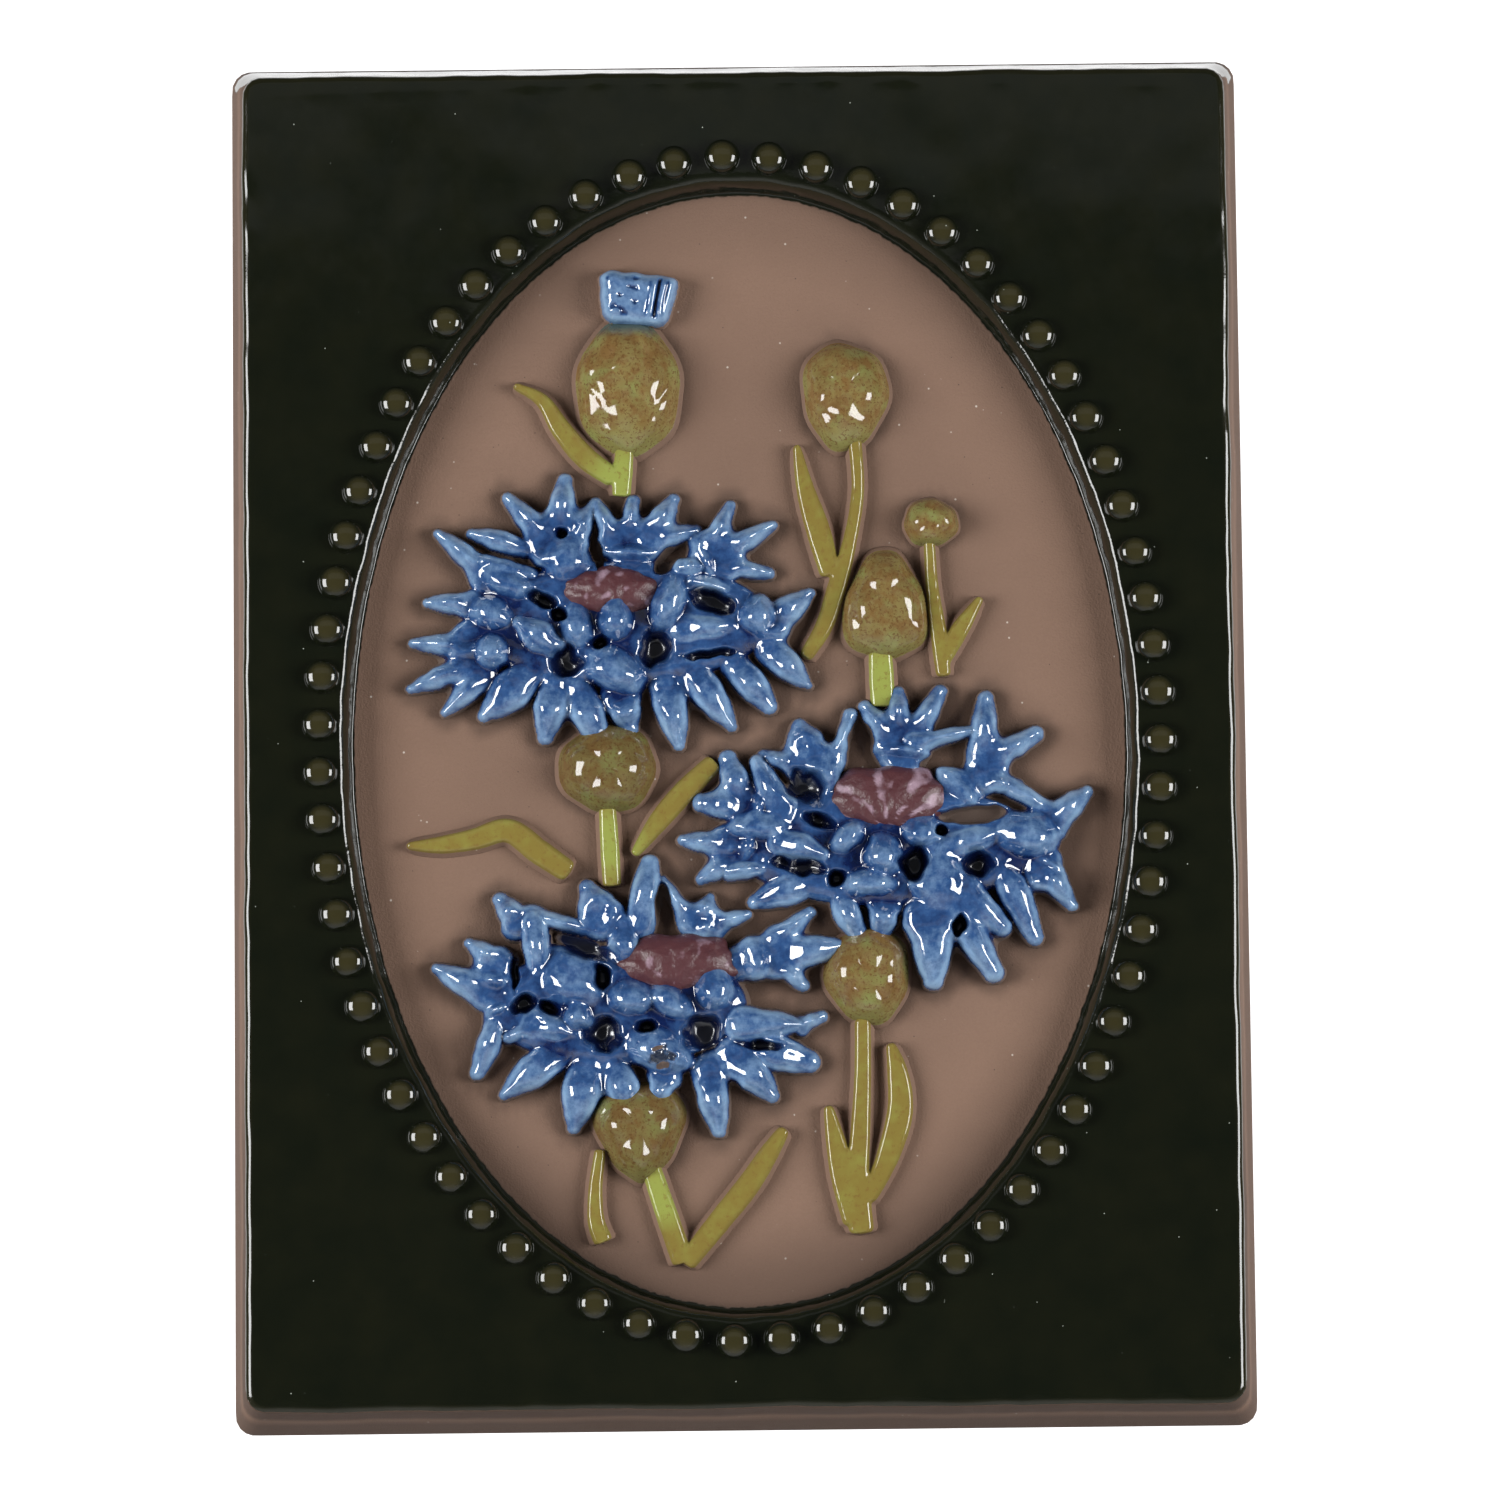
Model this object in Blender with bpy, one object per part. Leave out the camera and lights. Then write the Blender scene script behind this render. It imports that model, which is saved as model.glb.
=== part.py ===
"""Stoneware wall plaque: a bevelled slab with a beaded oval window and cornflowers in relief.

The back of the slab lies in the plane y = 0 and goes against the wall, the front faces -Y
and +Z is up. The origin is the middle of the back face. Everything is one fired solid.
"""

import math

import bmesh
import bpy
from mathutils import Matrix, Vector

MM = 0.001

# Slab, measured on its back face, which is the largest outline
HEIGHT = 201.0 * MM
WIDTH = 148.5 * MM
THICKNESS = 13.0 * MM
SIDE_DRAFT = 2.4 * MM
END_DRAFT = 3.2 * MM
CORNER_RADIUS = 2.8 * MM
EDGE_ROUND = 1.2 * MM

# Oval window, its borders measured from the slab's outline to the edge of the clay ground
SIDE_BORDER = 18.0 * MM
TOP_BORDER = 20.5 * MM
FOOT_BORDER = 17.5 * MM
RECESS_DEPTH = 5.0 * MM
LIP_WIDTH = 2.2 * MM
OVAL_SEGMENTS = 64

# String of beads round the window
BEAD_DIAMETER = 5.0 * MM
BEAD_PITCH = 6.95 * MM
BEAD_RISE = 2.2 * MM
BEAD_SINK = 0.5 * MM
BEAD_SIDES = 8

# Pocket for a nail head in the back
POCKET_WIDTH = 12.0 * MM
POCKET_HEIGHT = 8.0 * MM
POCKET_FRONT_WALL = 6.0 * MM
POCKET_TOP_WALL = 7.0 * MM
POCKET_ROUND = 1.5 * MM

# Heights of the relief above the clay ground
PETAL_RISE = 5.6 * MM
TIP_RISE = 3.4 * MM
LOBE_RISE = 6.6 * MM
EYE_RISE = 6.2 * MM
CUSHION_RISE = 3.6 * MM
BUD_RISE = 5.4 * MM
LEAF_RISE = 2.2 * MM
TUFT_RISE = 3.4 * MM
SKIRT = 0.5 * MM
ROOT = 1.2 * MM

# The bouquet is drawn for a window of this half width and half height
DRAWN_HALF_WIDTH = 56.25 * MM
DRAWN_HALF_HEIGHT = 81.5 * MM

# Flowers: middle of the eye, half size of the eye, middle and half size of the cushion
# under the petals. Florets: root x and z from the eye, first heading and step in degrees,
# half width, gap left open at the throat, then the length of each tooth.
# Lobes: x and z from the eye and half width.
FLOWERS = (
    {
        "name": "upper",
        "eye": (-18.2, 22.3, 7.8, 3.6),
        "cushion": (0.0, -4.0, 20.0, 12.0),
        "florets": (
            (-12.0, -0.5, 145, 25, 1.9, 0.0, (15.5, 9.0)),
            (-7.4, 8.0, 44, 45, 1.8, 0.8, (7.0, 8.8, 10.0, 13.5)),
            (4.6, 3.2, 32, 31, 1.7, 0.0, (10.0, 11.5, 10.3, 11.7)),
            (11.2, 2.2, -1, 31, 1.8, 0.0, (12.0, 14.2, 12.0)),
            (13.0, -7.0, -25, 46, 2.1, 0.0, (17.0, 17.3)),
            (15.5, -11.0, -42, 0, 1.9, 0.0, (9.8,)),
            (6.4, -9.5, -107, 31, 2.4, 2.0, (12.0, 14.0, 15.4)),
            (6.4, -9.5, 14, 0, 2.0, 2.4, (12.0,)),
            (-6.7, -11.5, 212, 41, 2.3, 1.8, (13.8, 11.0, 13.3)),
            (-17.5, -9.5, 140, 31, 1.7, 0.0, (12.1, 11.6, 12.7, 11.1)),
        ),
        "lobes": (
            (-8.6, 1.2, 4.0), (-19.5, -1.5, 3.0), (-15.0, -5.0, 2.8), (-17.5, -9.6, 2.4),
            (-10.4, -7.3, 2.5), (-4.8, -6.4, 2.5), (0.4, -5.6, 2.9), (8.0, -4.0, 3.0),
            (14.0, 1.0, 2.2), (20.4, -4.4, 2.9), (1.5, -14.5, 3.0),
        ),
    },
    {
        "name": "right",
        "eye": (20.4, -8.2, 7.8, 4.2),
        "cushion": (1.0, -5.0, 19.0, 11.5),
        "florets": (
            (-17.5, -2.0, 122, 50, 1.9, 0.0, (9.8, 9.0)),
            (-13.5, -1.5, 120, 0, 1.7, 0.0, (8.6,)),
            (-17.0, -8.0, 172, 36, 1.8, 0.0, (11.7, 10.4)),
            (-8.5, -12.5, 199, 0, 2.2, 0.0, (10.5,)),
            (-6.5, -12.8, -64, 0, 1.7, 0.0, (9.0,)),
            (0.6, -12.0, -94, 0, 2.4, 0.0, (9.0,)),
            (-8.5, 0.5, 69, 37, 1.9, 0.0, (12.4, 10.5, 9.8)),
            (3.8, 4.2, 26, 33, 1.8, 0.0, (10.8, 12.1, 10.6, 10.8)),
            (10.2, 0.7, -5, 37, 2.1, 0.0, (14.5, 15.3, 14.7)),
            (22.0, -2.8, 21, 0, 1.8, 0.0, (8.8,)),
            (10.6, -6.2, -3, 0, 2.6, 0.0, (13.5,)),
            (20.5, -8.6, -48, 0, 2.4, 0.0, (11.2,)),
            (17.0, -9.0, -66, 0, 2.1, 0.0, (14.0,)),
            (8.5, -8.0, 267, 23, 2.7, 0.0, (20.0, 20.5, 16.0)),
        ),
        "lobes": (
            (-8.8, 4.6, 3.2), (-18.6, -4.8, 2.8), (-11.3, -7.9, 3.0), (-4.4, -7.1, 2.4),
            (0.5, -8.4, 2.7), (6.2, -5.9, 2.7), (-2.0, -13.4, 2.7), (12.5, -9.0, 3.2),
            (21.8, -7.1, 2.9),
        ),
    },
    {
        "name": "lower",
        "eye": (-9.2, -31.0, 8.0, 4.0),
        "cushion": (-3.0, -5.0, 19.0, 11.0),
        "florets": (
            (-20.5, 0.0, 121, 0, 2.2, 0.0, (9.6,)),
            (-21.0, -5.0, 142, 26, 2.1, 0.0, (11.0, 14.0)),
            (-23.0, -8.5, 236, 0, 1.9, 0.0, (10.5,)),
            (-15.0, -11.6, 220, 0, 2.5, 0.0, (12.8,)),
            (-10.4, -11.6, 252, 38, 2.3, 1.9, (14.7, 13.5)),
            (-0.5, -15.5, 247, 0, 1.9, 0.0, (7.1,)),
            (3.9, -11.6, 276, 44, 2.3, 1.9, (14.4, 14.2, 15.0)),
            (11.5, -13.6, -18, 0, 2.8, 0.0, (9.0,)),
            (17.0, -9.8, 8, 0, 1.4, 0.0, (4.7,)),
            (10.7, 0.0, -32, 34, 2.0, 0.0, (9.7, 14.1, 10.6)),
            (1.7, 4.0, 9, 54, 1.6, 0.0, (9.9, 6.0, 7.7)),
            (-4.8, 3.0, 81, 0, 2.1, 0.0, (11.3,)),
            (-9.5, 3.0, 115, 0, 2.5, 0.0, (7.7,)),
            (-11.5, 3.2, 163, 0, 1.6, 0.0, (9.6,)),
            (-18.8, -7.5, 96, 0, 1.6, 0.0, (13.0,)),
        ),
        "lobes": (
            (-7.2, -6.8, 3.0), (-1.3, -7.1, 3.0), (5.9, -6.8, 2.8), (-14.0, -4.8, 4.0),
            (-2.5, -14.4, 3.0), (-18.6, -10.2, 2.6), (10.4, -2.6, 2.6), (12.4, -11.6, 2.4),
        ),
    },
)

# Buds and calyxes: x, z, half width, half height, how much narrower the top end is
BUDS = (
    (-15.8, 52.0, 7.5, 9.8, 0.10),
    (16.5, 50.6, 6.3, 6.9, 0.05),
    (28.2, 31.4, 3.9, 3.5, 0.0),
    (21.4, 19.3, 6.1, 7.9, 0.20),
    (-19.2, -4.2, 7.0, 6.4, -0.10),
    (18.2, -34.6, 6.1, 7.0, -0.10),
    (-15.0, -56.6, 6.3, 7.2, -0.25),
)

# Stems and leaves as stations of x, z, half width
LEAVES = (
    ((-32.6, 52.3, 0.4), (-28.5, 50.1, 0.9), (-25.6, 45.7, 1.4), (-21.9, 41.3, 1.6),
     (-17.6, 38.2, 1.4)),
    ((-16.3, 43.2, 1.3), (-16.9, 35.6, 1.3)),
    ((17.2, 44.6, 0.9), (17.6, 36.0, 0.8), (16.3, 28.5, 0.9), (14.4, 22.0, 1.3),
     (12.4, 16.2, 1.2), (9.4, 11.4, 0.9)),
    ((8.7, 43.2, 0.4), (9.9, 36.8, 1.2), (11.7, 30.6, 1.7), (13.6, 23.6, 1.5)),
    ((27.9, 29.2, 0.7), (28.3, 21.8, 0.8), (29.2, 14.5, 1.1), (29.8, 8.6, 1.0)),
    ((35.4, 20.4, 0.4), (32.2, 15.6, 1.2), (29.7, 11.4, 1.2)),
    ((20.6, 12.6, 1.7), (20.9, 4.4, 1.8)),
    ((-19.3, -9.6, 1.2), (-18.7, -21.4, 1.3)),
    ((-48.7, -15.1, 0.4), (-43.6, -15.0, 1.2), (-38.6, -14.2, 1.5), (-33.9, -13.0, 1.7),
     (-29.2, -16.2, 1.8), (-24.6, -19.4, 1.6)),
    ((-15.6, -16.9, 0.5), (-11.8, -11.8, 1.4), (-8.1, -7.6, 1.6), (-3.4, -3.2, 1.4)),
    ((17.4, -40.4, 1.1), (17.3, -48.7, 1.1), (16.9, -56.7, 1.3), (16.4, -64.0, 1.6),
     (16.9, -72.2, 1.9)),
    ((12.2, -53.2, 0.5), (13.2, -58.1, 1.3), (14.3, -63.3, 1.8), (16.0, -70.6, 1.7)),
    ((21.3, -44.2, 0.5), (22.3, -48.3, 1.4), (22.7, -53.8, 1.8), (21.4, -59.1, 1.7),
     (19.8, -63.1, 1.4), (17.6, -67.2, 1.1)),
    ((-13.6, -61.6, 1.4), (-11.3, -68.6, 1.5), (-8.8, -76.0, 1.6)),
    ((-8.8, -76.2, 1.4), (-3.4, -69.6, 1.6), (0.9, -64.3, 1.6), (3.8, -59.9, 1.3),
     (6.1, -56.4, 0.7)),
    ((-20.7, -59.2, 0.7), (-21.5, -65.8, 0.9), (-21.3, -70.1, 1.2), (-20.3, -72.9, 1.4)),
)

# Tuft of petals that opens from the top bud: x, z, half widths at its foot and its top,
# height and turn in degrees
TUFT = (-14.8, 64.4, 4.0, 5.3, 6.6, -6.0)
TUFT_FLUTES = 4
TUFT_FLUTE_DEPTH = 0.5 * MM

# Colour, roughness and metallic value of the glaze that covers most of the front
GLAZE_COLOUR = (0.016, 0.024, 0.012, 1.0)
GLAZE_ROUGHNESS = 0.14
GLAZE_METALLIC = 0.0

# Values worked out from the driving sizes
BORDER_Y = -THICKNESS
GROUND_Y = RECESS_DEPTH - THICKNESS
OVAL_HALF_WIDTH = WIDTH / 2 - SIDE_BORDER
OVAL_HALF_HEIGHT = (HEIGHT - TOP_BORDER - FOOT_BORDER) / 2
OVAL_CENTRE_Z = (FOOT_BORDER - TOP_BORDER) / 2
DRAWING_SCALE = min(
    OVAL_HALF_WIDTH / DRAWN_HALF_WIDTH,
    OVAL_HALF_HEIGHT / DRAWN_HALF_HEIGHT,
)
DRAWN_CENTRE_Z = -1.1


def clear_scene():
    """Remove every object that is in the file."""
    for item in list(bpy.data.objects):
        bpy.data.objects.remove(item, do_unlink=True)


def make_collection(name, parent=None):
    """Make a collection under the scene or under another one."""
    group = bpy.data.collections.new(name)
    owner = parent or bpy.context.scene.collection
    owner.children.link(group)
    return group


def make_glaze(name, colour, roughness, metallic):
    """Make a Principled material."""
    glaze = bpy.data.materials.new(name)
    glaze.use_nodes = True
    shader = glaze.node_tree.nodes["Principled BSDF"]
    shader.inputs["Base Color"].default_value = colour
    shader.inputs["Roughness"].default_value = roughness
    shader.inputs["Metallic"].default_value = metallic
    glaze.diffuse_color = colour
    return glaze


def mesh_object(name, bm, group):
    """Turn a bmesh into an object of the collection, its faces pointing outwards."""
    bmesh.ops.recalc_face_normals(bm, faces=bm.faces)
    mesh = bpy.data.meshes.new(name)
    bm.to_mesh(mesh)
    bm.free()
    item = bpy.data.objects.new(name, mesh)
    group.objects.link(item)
    return item


def hide_tool(item):
    """Mark an object that only cuts or adds to another one."""
    item.hide_render = True
    item.display_type = "WIRE"


def loft(bm, rings):
    """Skin closed rings of equal counts and cap both ends."""
    rows = [[bm.verts.new(point) for point in ring] for ring in rings]
    count = len(rows[0])
    for low, high in zip(rows, rows[1:]):
        for index in range(count):
            following = (index + 1) % count
            bm.faces.new((low[index], low[following], high[following], high[index]))
    bm.faces.new(rows[0])
    bm.faces.new(rows[-1])


def drawn(x, z):
    """Place a point of the drawing, given in millimetres, in the plane of the ground."""
    scale = DRAWING_SCALE * MM
    return Vector((x * scale, 0.0, OVAL_CENTRE_Z + (z - DRAWN_CENTRE_Z) * scale))


def slab(group):
    """The slab: its sides draw in towards the front, its corners and edges are round."""
    bm = bmesh.new()
    bmesh.ops.create_cube(bm, size=1.0)
    for vert in bm.verts:
        front = vert.co.y < 0
        vert.co.x *= WIDTH - (2 * SIDE_DRAFT if front else 0.0)
        vert.co.z *= HEIGHT - (2 * END_DRAFT if front else 0.0)
        vert.co.y = BORDER_Y if front else 0.0
    corners = [edge for edge in bm.edges if edge.verts[0].co.y != edge.verts[1].co.y]
    bmesh.ops.bevel(
        bm, geom=corners, offset=CORNER_RADIUS, offset_type="OFFSET", segments=4,
        profile=0.5, affect="EDGES",
    )
    rim = [edge for edge in bm.edges if all(vert.co.y == BORDER_Y for vert in edge.verts)]
    bmesh.ops.bevel(
        bm, geom=rim, offset=EDGE_ROUND, offset_type="OFFSET", segments=2, profile=0.5,
        affect="EDGES",
    )
    return mesh_object("plaque", bm, group)


def oval_ring(margin, y):
    """Points round the window at a margin outside the edge of the clay ground."""
    points = []
    for index in range(OVAL_SEGMENTS):
        angle = 2 * math.pi * index / OVAL_SEGMENTS
        points.append((
            (OVAL_HALF_WIDTH + margin) * math.cos(angle),
            y,
            OVAL_CENTRE_Z + (OVAL_HALF_HEIGHT + margin) * math.sin(angle),
        ))
    return points


def window_cutter(group):
    """The sunk oval with its sloping wall and its rounded lip."""
    wall = LIP_WIDTH * 0.35
    shoulder = LIP_WIDTH * 0.6
    bm = bmesh.new()
    loft(bm, (
        oval_ring(0.0, GROUND_Y),
        oval_ring(wall, GROUND_Y - RECESS_DEPTH * 0.62),
        oval_ring(shoulder, GROUND_Y - RECESS_DEPTH * 0.84),
        oval_ring(LIP_WIDTH, BORDER_Y - 0.02 * MM),
        oval_ring(LIP_WIDTH * 1.5, BORDER_Y - THICKNESS),
    ))
    cutter = mesh_object("window cutter", bm, group)
    hide_tool(cutter)
    return cutter


def pocket_cutter(group):
    """The pocket in the back whose ceiling rests on a nail."""
    depth = THICKNESS - POCKET_FRONT_WALL
    bm = bmesh.new()
    bmesh.ops.create_cube(bm, size=1.0)
    for vert in bm.verts:
        vert.co.x *= POCKET_WIDTH
        vert.co.y *= 2 * depth
        vert.co.z = HEIGHT / 2 - POCKET_TOP_WALL + (vert.co.z - 0.5) * POCKET_HEIGHT
    corners = [edge for edge in bm.edges if edge.verts[0].co.y != edge.verts[1].co.y]
    bmesh.ops.bevel(
        bm, geom=corners, offset=min(POCKET_ROUND, POCKET_WIDTH / 4, POCKET_HEIGHT / 4),
        offset_type="OFFSET", segments=2, profile=0.5, affect="EDGES",
    )
    cutter = mesh_object("pocket cutter", bm, group)
    hide_tool(cutter)
    return cutter


def bead_places():
    """Places at equal steps along the oval line that the beads follow."""
    margin = LIP_WIDTH + BEAD_DIAMETER / 2
    half_width = OVAL_HALF_WIDTH + margin
    half_height = OVAL_HALF_HEIGHT + margin
    steps = 2880
    walk = [0.0]
    points = []
    for index in range(steps + 1):
        angle = 2 * math.pi * index / steps
        points.append(Vector((half_width * math.cos(angle), 0.0, half_height * math.sin(angle))))
        if index:
            walk.append(walk[-1] + (points[index] - points[index - 1]).length)
    count = round(walk[-1] / BEAD_PITCH)
    places = []
    cursor = 0
    for number in range(count):
        target = walk[-1] * number / count
        while walk[cursor] < target:
            cursor += 1
        places.append(points[cursor])
    return places


def beads(group):
    """The string of beads, each a low dome set in the border."""
    for number, place in enumerate(bead_places(), start=1):
        bm = bmesh.new()
        centre = Vector((place.x, BORDER_Y + BEAD_SINK, OVAL_CENTRE_Z + place.z))
        size = Matrix.Diagonal((BEAD_DIAMETER / 2, BEAD_RISE + BEAD_SINK, BEAD_DIAMETER / 2, 1.0))
        turn = Matrix.Rotation(math.radians(90), 4, "X")
        bmesh.ops.create_uvsphere(
            bm, u_segments=BEAD_SIDES, v_segments=4, radius=1.0,
            matrix=Matrix.Translation(centre) @ size @ turn,
        )
        hide_tool(mesh_object(f"bead {number}", bm, group))


def ridge(name, stations, group):
    """A keeled ridge of clay along stations of place, half width and rise.

    Each section has a foot sunk in the ground, a shoulder on each side and a keel.
    """
    rings = []
    last = len(stations) - 1
    for index, (place, half_width, rise) in enumerate(stations):
        before = stations[max(index - 1, 0)][0]
        after = stations[min(index + 1, last)][0]
        along = (after - before).normalized()
        across = Vector((along.z, 0.0, -along.x))
        foot = half_width + SKIRT * DRAWING_SCALE
        section = (
            (-foot, -ROOT), (-half_width * 0.9, rise * 0.66), (0.0, rise),
            (half_width * 0.9, rise * 0.66), (foot, -ROOT),
        )
        rings.append([
            place + across * side + Vector((0.0, GROUND_Y - up, 0.0)) for side, up in section
        ])
    bm = bmesh.new()
    loft(bm, rings)
    hide_tool(mesh_object(name, bm, group))


def dome(name, x, z, half_width, half_height, rise, group, sides=8, rings=4, taper=0.0):
    """A rounded swelling on the ground, egg-shaped where it has a taper."""
    scale = DRAWING_SCALE * MM
    bm = bmesh.new()
    bmesh.ops.create_uvsphere(
        bm, u_segments=sides, v_segments=rings, radius=1.0,
        matrix=Matrix.Rotation(math.radians(90), 4, "X"),
    )
    for vert in bm.verts:
        vert.co.x *= 1.0 - taper * vert.co.z
        if vert.co.y > 0:
            vert.co.y *= ROOT / (rise + ROOT)
    size = Matrix.Diagonal((half_width * scale, rise + ROOT, half_height * scale, 1.0))
    place = drawn(x, z) + Vector((0.0, GROUND_Y + ROOT, 0.0))
    bmesh.ops.transform(bm, matrix=Matrix.Translation(place) @ size, verts=bm.verts)
    hide_tool(mesh_object(name, bm, group))


def tooth(name, x, z, heading, length, half_width, group):
    """One pointed tooth of a floret, from its root to its tip."""
    scale = DRAWING_SCALE * MM
    start = drawn(x, z)
    angle = math.radians(heading)
    direction = Vector((math.cos(angle), 0.0, math.sin(angle)))
    shape = ((0.0, 0.75, 0.0), (0.5, 1.0, 0.4), (1.0, 0.16, 1.0))
    stations = []
    for along, width, fall in shape:
        place = start + direction * (length * along * scale)
        rise = PETAL_RISE + (TIP_RISE - PETAL_RISE) * fall
        stations.append((place, half_width * width * scale, rise))
    ridge(name, stations, group)


def floret(name, row, origin, group):
    """A floret: teeth that fan out from one root, joined by a palm where there are several."""
    x, z, heading, step, half_width, throat, lengths = row
    for number, length in enumerate(lengths):
        angle = heading + number * step
        reach = math.radians(angle)
        tooth(
            f"{name} tooth {number + 1}",
            origin[0] + x + throat * math.cos(reach),
            origin[1] + z + throat * math.sin(reach),
            angle, length - throat, half_width, group,
        )
    if len(lengths) > 2:
        middle = math.radians(heading + step * (len(lengths) - 1) / 2)
        mean = sum(lengths) / len(lengths)
        reach = throat + mean * 0.3
        dome(
            f"{name} palm", origin[0] + x + reach * math.cos(middle),
            origin[1] + z + reach * math.sin(middle),
            mean * 0.34, mean * 0.34, PETAL_RISE * 0.86, group,
        )


def flower(shape, group):
    """A cornflower head: cushion, eye, florets and the rounded lobes in front of the eye."""
    name = shape["name"]
    eye_x, eye_z, eye_half_width, eye_half_height = shape["eye"]
    x, z, half_width, half_height = shape["cushion"]
    dome(f"{name} cushion", eye_x + x, eye_z + z, half_width, half_height, CUSHION_RISE, group,
         sides=16)
    dome(f"{name} eye", eye_x, eye_z, eye_half_width, eye_half_height, EYE_RISE, group,
         sides=12)
    for number, row in enumerate(shape["florets"], start=1):
        floret(f"{name} floret {number}", row, (eye_x, eye_z), group)
    for number, (x, z, half_width) in enumerate(shape["lobes"], start=1):
        dome(f"{name} lobe {number}", eye_x + x, eye_z + z, half_width, half_width,
             LOBE_RISE, group)


def tuft(group):
    """The fluted tuft of blue petals over the top bud."""
    x, z, foot, top, height, turn = TUFT
    scale = DRAWING_SCALE * MM
    spin = Matrix.Rotation(math.radians(-turn), 4, "Y")
    rings = []
    for level, half_width in ((-0.5, foot), (0.5, top)):
        front = []
        count = 2 * TUFT_FLUTES
        for index in range(count + 1):
            side = half_width * scale * (2 * index / count - 1)
            dip = 0.0 if index % 2 else TUFT_FLUTE_DEPTH
            front.append(Vector((side, -TUFT_RISE + dip, level * height * scale)))
        skirt = SKIRT * DRAWING_SCALE
        foot_line = [
            Vector((half_width * scale + skirt, ROOT, level * height * scale)),
            Vector((-half_width * scale - skirt, ROOT, level * height * scale)),
        ]
        place = drawn(x, z) + Vector((0.0, GROUND_Y, 0.0))
        rings.append([place + spin @ point for point in front + foot_line])
    bm = bmesh.new()
    loft(bm, rings)
    hide_tool(mesh_object("tuft", bm, group))


def bouquet(group):
    """Every stem, leaf, bud and flower of the relief."""
    for number, row in enumerate(LEAVES, start=1):
        stations = [
            (drawn(x, z), half_width * DRAWING_SCALE * MM, LEAF_RISE)
            for x, z, half_width in row
        ]
        ridge(f"leaf {number}", stations, group)
    for number, (x, z, half_width, half_height, taper) in enumerate(BUDS, start=1):
        dome(f"bud {number}", x, z, half_width, half_height, BUD_RISE, group, sides=12,
             rings=6, taper=taper)
    tuft(group)
    for shape in FLOWERS:
        flower(shape, group)


def combine(body, operation, tool, name):
    """Add a Boolean modifier that takes one object or a whole collection."""
    step = body.modifiers.new(name, "BOOLEAN")
    step.operation = operation
    step.solver = "EXACT"
    if isinstance(tool, bpy.types.Collection):
        step.operand_type = "COLLECTION"
        step.collection = tool
    else:
        step.object = tool


def build():
    """Build the plaque."""
    clear_scene()
    parts = make_collection("wall_plaque")
    tools = make_collection("cutters")
    body = slab(parts)
    body.data.materials.append(
        make_glaze("bottle green glaze", GLAZE_COLOUR, GLAZE_ROUGHNESS, GLAZE_METALLIC)
    )
    relief_tools = make_collection("relief to add", tools)
    bead_tools = make_collection("beads to add", tools)
    bouquet(relief_tools)
    beads(bead_tools)
    combine(body, "DIFFERENCE", window_cutter(tools), "window")
    combine(body, "DIFFERENCE", pocket_cutter(tools), "nail pocket")
    combine(body, "UNION", bead_tools, "beads")
    combine(body, "UNION", relief_tools, "relief")


build()
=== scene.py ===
"""The finish of a stoneware wall plaque: glazed border, beads, bare clay and a blue bouquet.

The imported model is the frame. Every piece here rides on it and stands for its one solid.
The back lies in the plane y = 0, the front faces -Y and +Z is up. Lengths are in metres.
"""
import math

import bpy
import numpy as np
from bpy.props import FloatProperty, FloatVectorProperty, IntProperty, PointerProperty
from mathutils import Matrix, Vector, noise


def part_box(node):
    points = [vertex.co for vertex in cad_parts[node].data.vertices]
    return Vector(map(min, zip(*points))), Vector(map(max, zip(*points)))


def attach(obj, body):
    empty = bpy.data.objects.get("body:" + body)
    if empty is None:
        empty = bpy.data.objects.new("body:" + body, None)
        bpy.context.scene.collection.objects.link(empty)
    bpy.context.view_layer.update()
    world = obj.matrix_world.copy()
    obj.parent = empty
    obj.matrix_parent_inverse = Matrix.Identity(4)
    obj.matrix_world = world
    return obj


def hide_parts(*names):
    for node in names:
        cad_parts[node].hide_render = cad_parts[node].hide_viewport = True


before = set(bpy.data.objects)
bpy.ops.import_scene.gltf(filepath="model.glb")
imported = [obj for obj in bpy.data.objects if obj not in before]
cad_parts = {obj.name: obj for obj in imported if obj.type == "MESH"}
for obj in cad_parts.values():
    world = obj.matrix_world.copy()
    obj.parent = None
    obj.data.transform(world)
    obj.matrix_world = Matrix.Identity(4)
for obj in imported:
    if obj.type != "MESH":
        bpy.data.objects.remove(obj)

bl_info = {
    "name": "Cornflower Plaque",
    "version": (1, 0, 0),
    "blender": (4, 5, 0),
    "location": "View3D > Sidebar > Plaque",
    "description": "Builds the glazed relief plaque piece by piece",
    "category": "Object",
}

MM = 0.001
CAD_LOW, CAD_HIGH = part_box("plaque")
BODY = "root"

# Slab and window, in step with the solid
THICKNESS = 13.0 * MM
SIDE_DRAFT = 2.4 * MM
END_DRAFT = 3.2 * MM
CORNER_RADIUS = 2.8 * MM
EDGE_ROUND = 1.2 * MM
SIDE_BORDER = 18.0 * MM
TOP_BORDER = 20.5 * MM
FOOT_BORDER = 17.5 * MM
RECESS_DEPTH = 5.0 * MM
LIP_WIDTH = 2.2 * MM
BEAD_DIAMETER = 5.0 * MM
BEAD_PITCH = 6.95 * MM
BEAD_RISE = 2.2 * MM
BEAD_SEED = 5
POCKET_WIDTH = 12.0 * MM
POCKET_HEIGHT = 8.0 * MM
POCKET_DEPTH = 7.0 * MM
POCKET_TOP_WALL = 7.0 * MM

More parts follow.
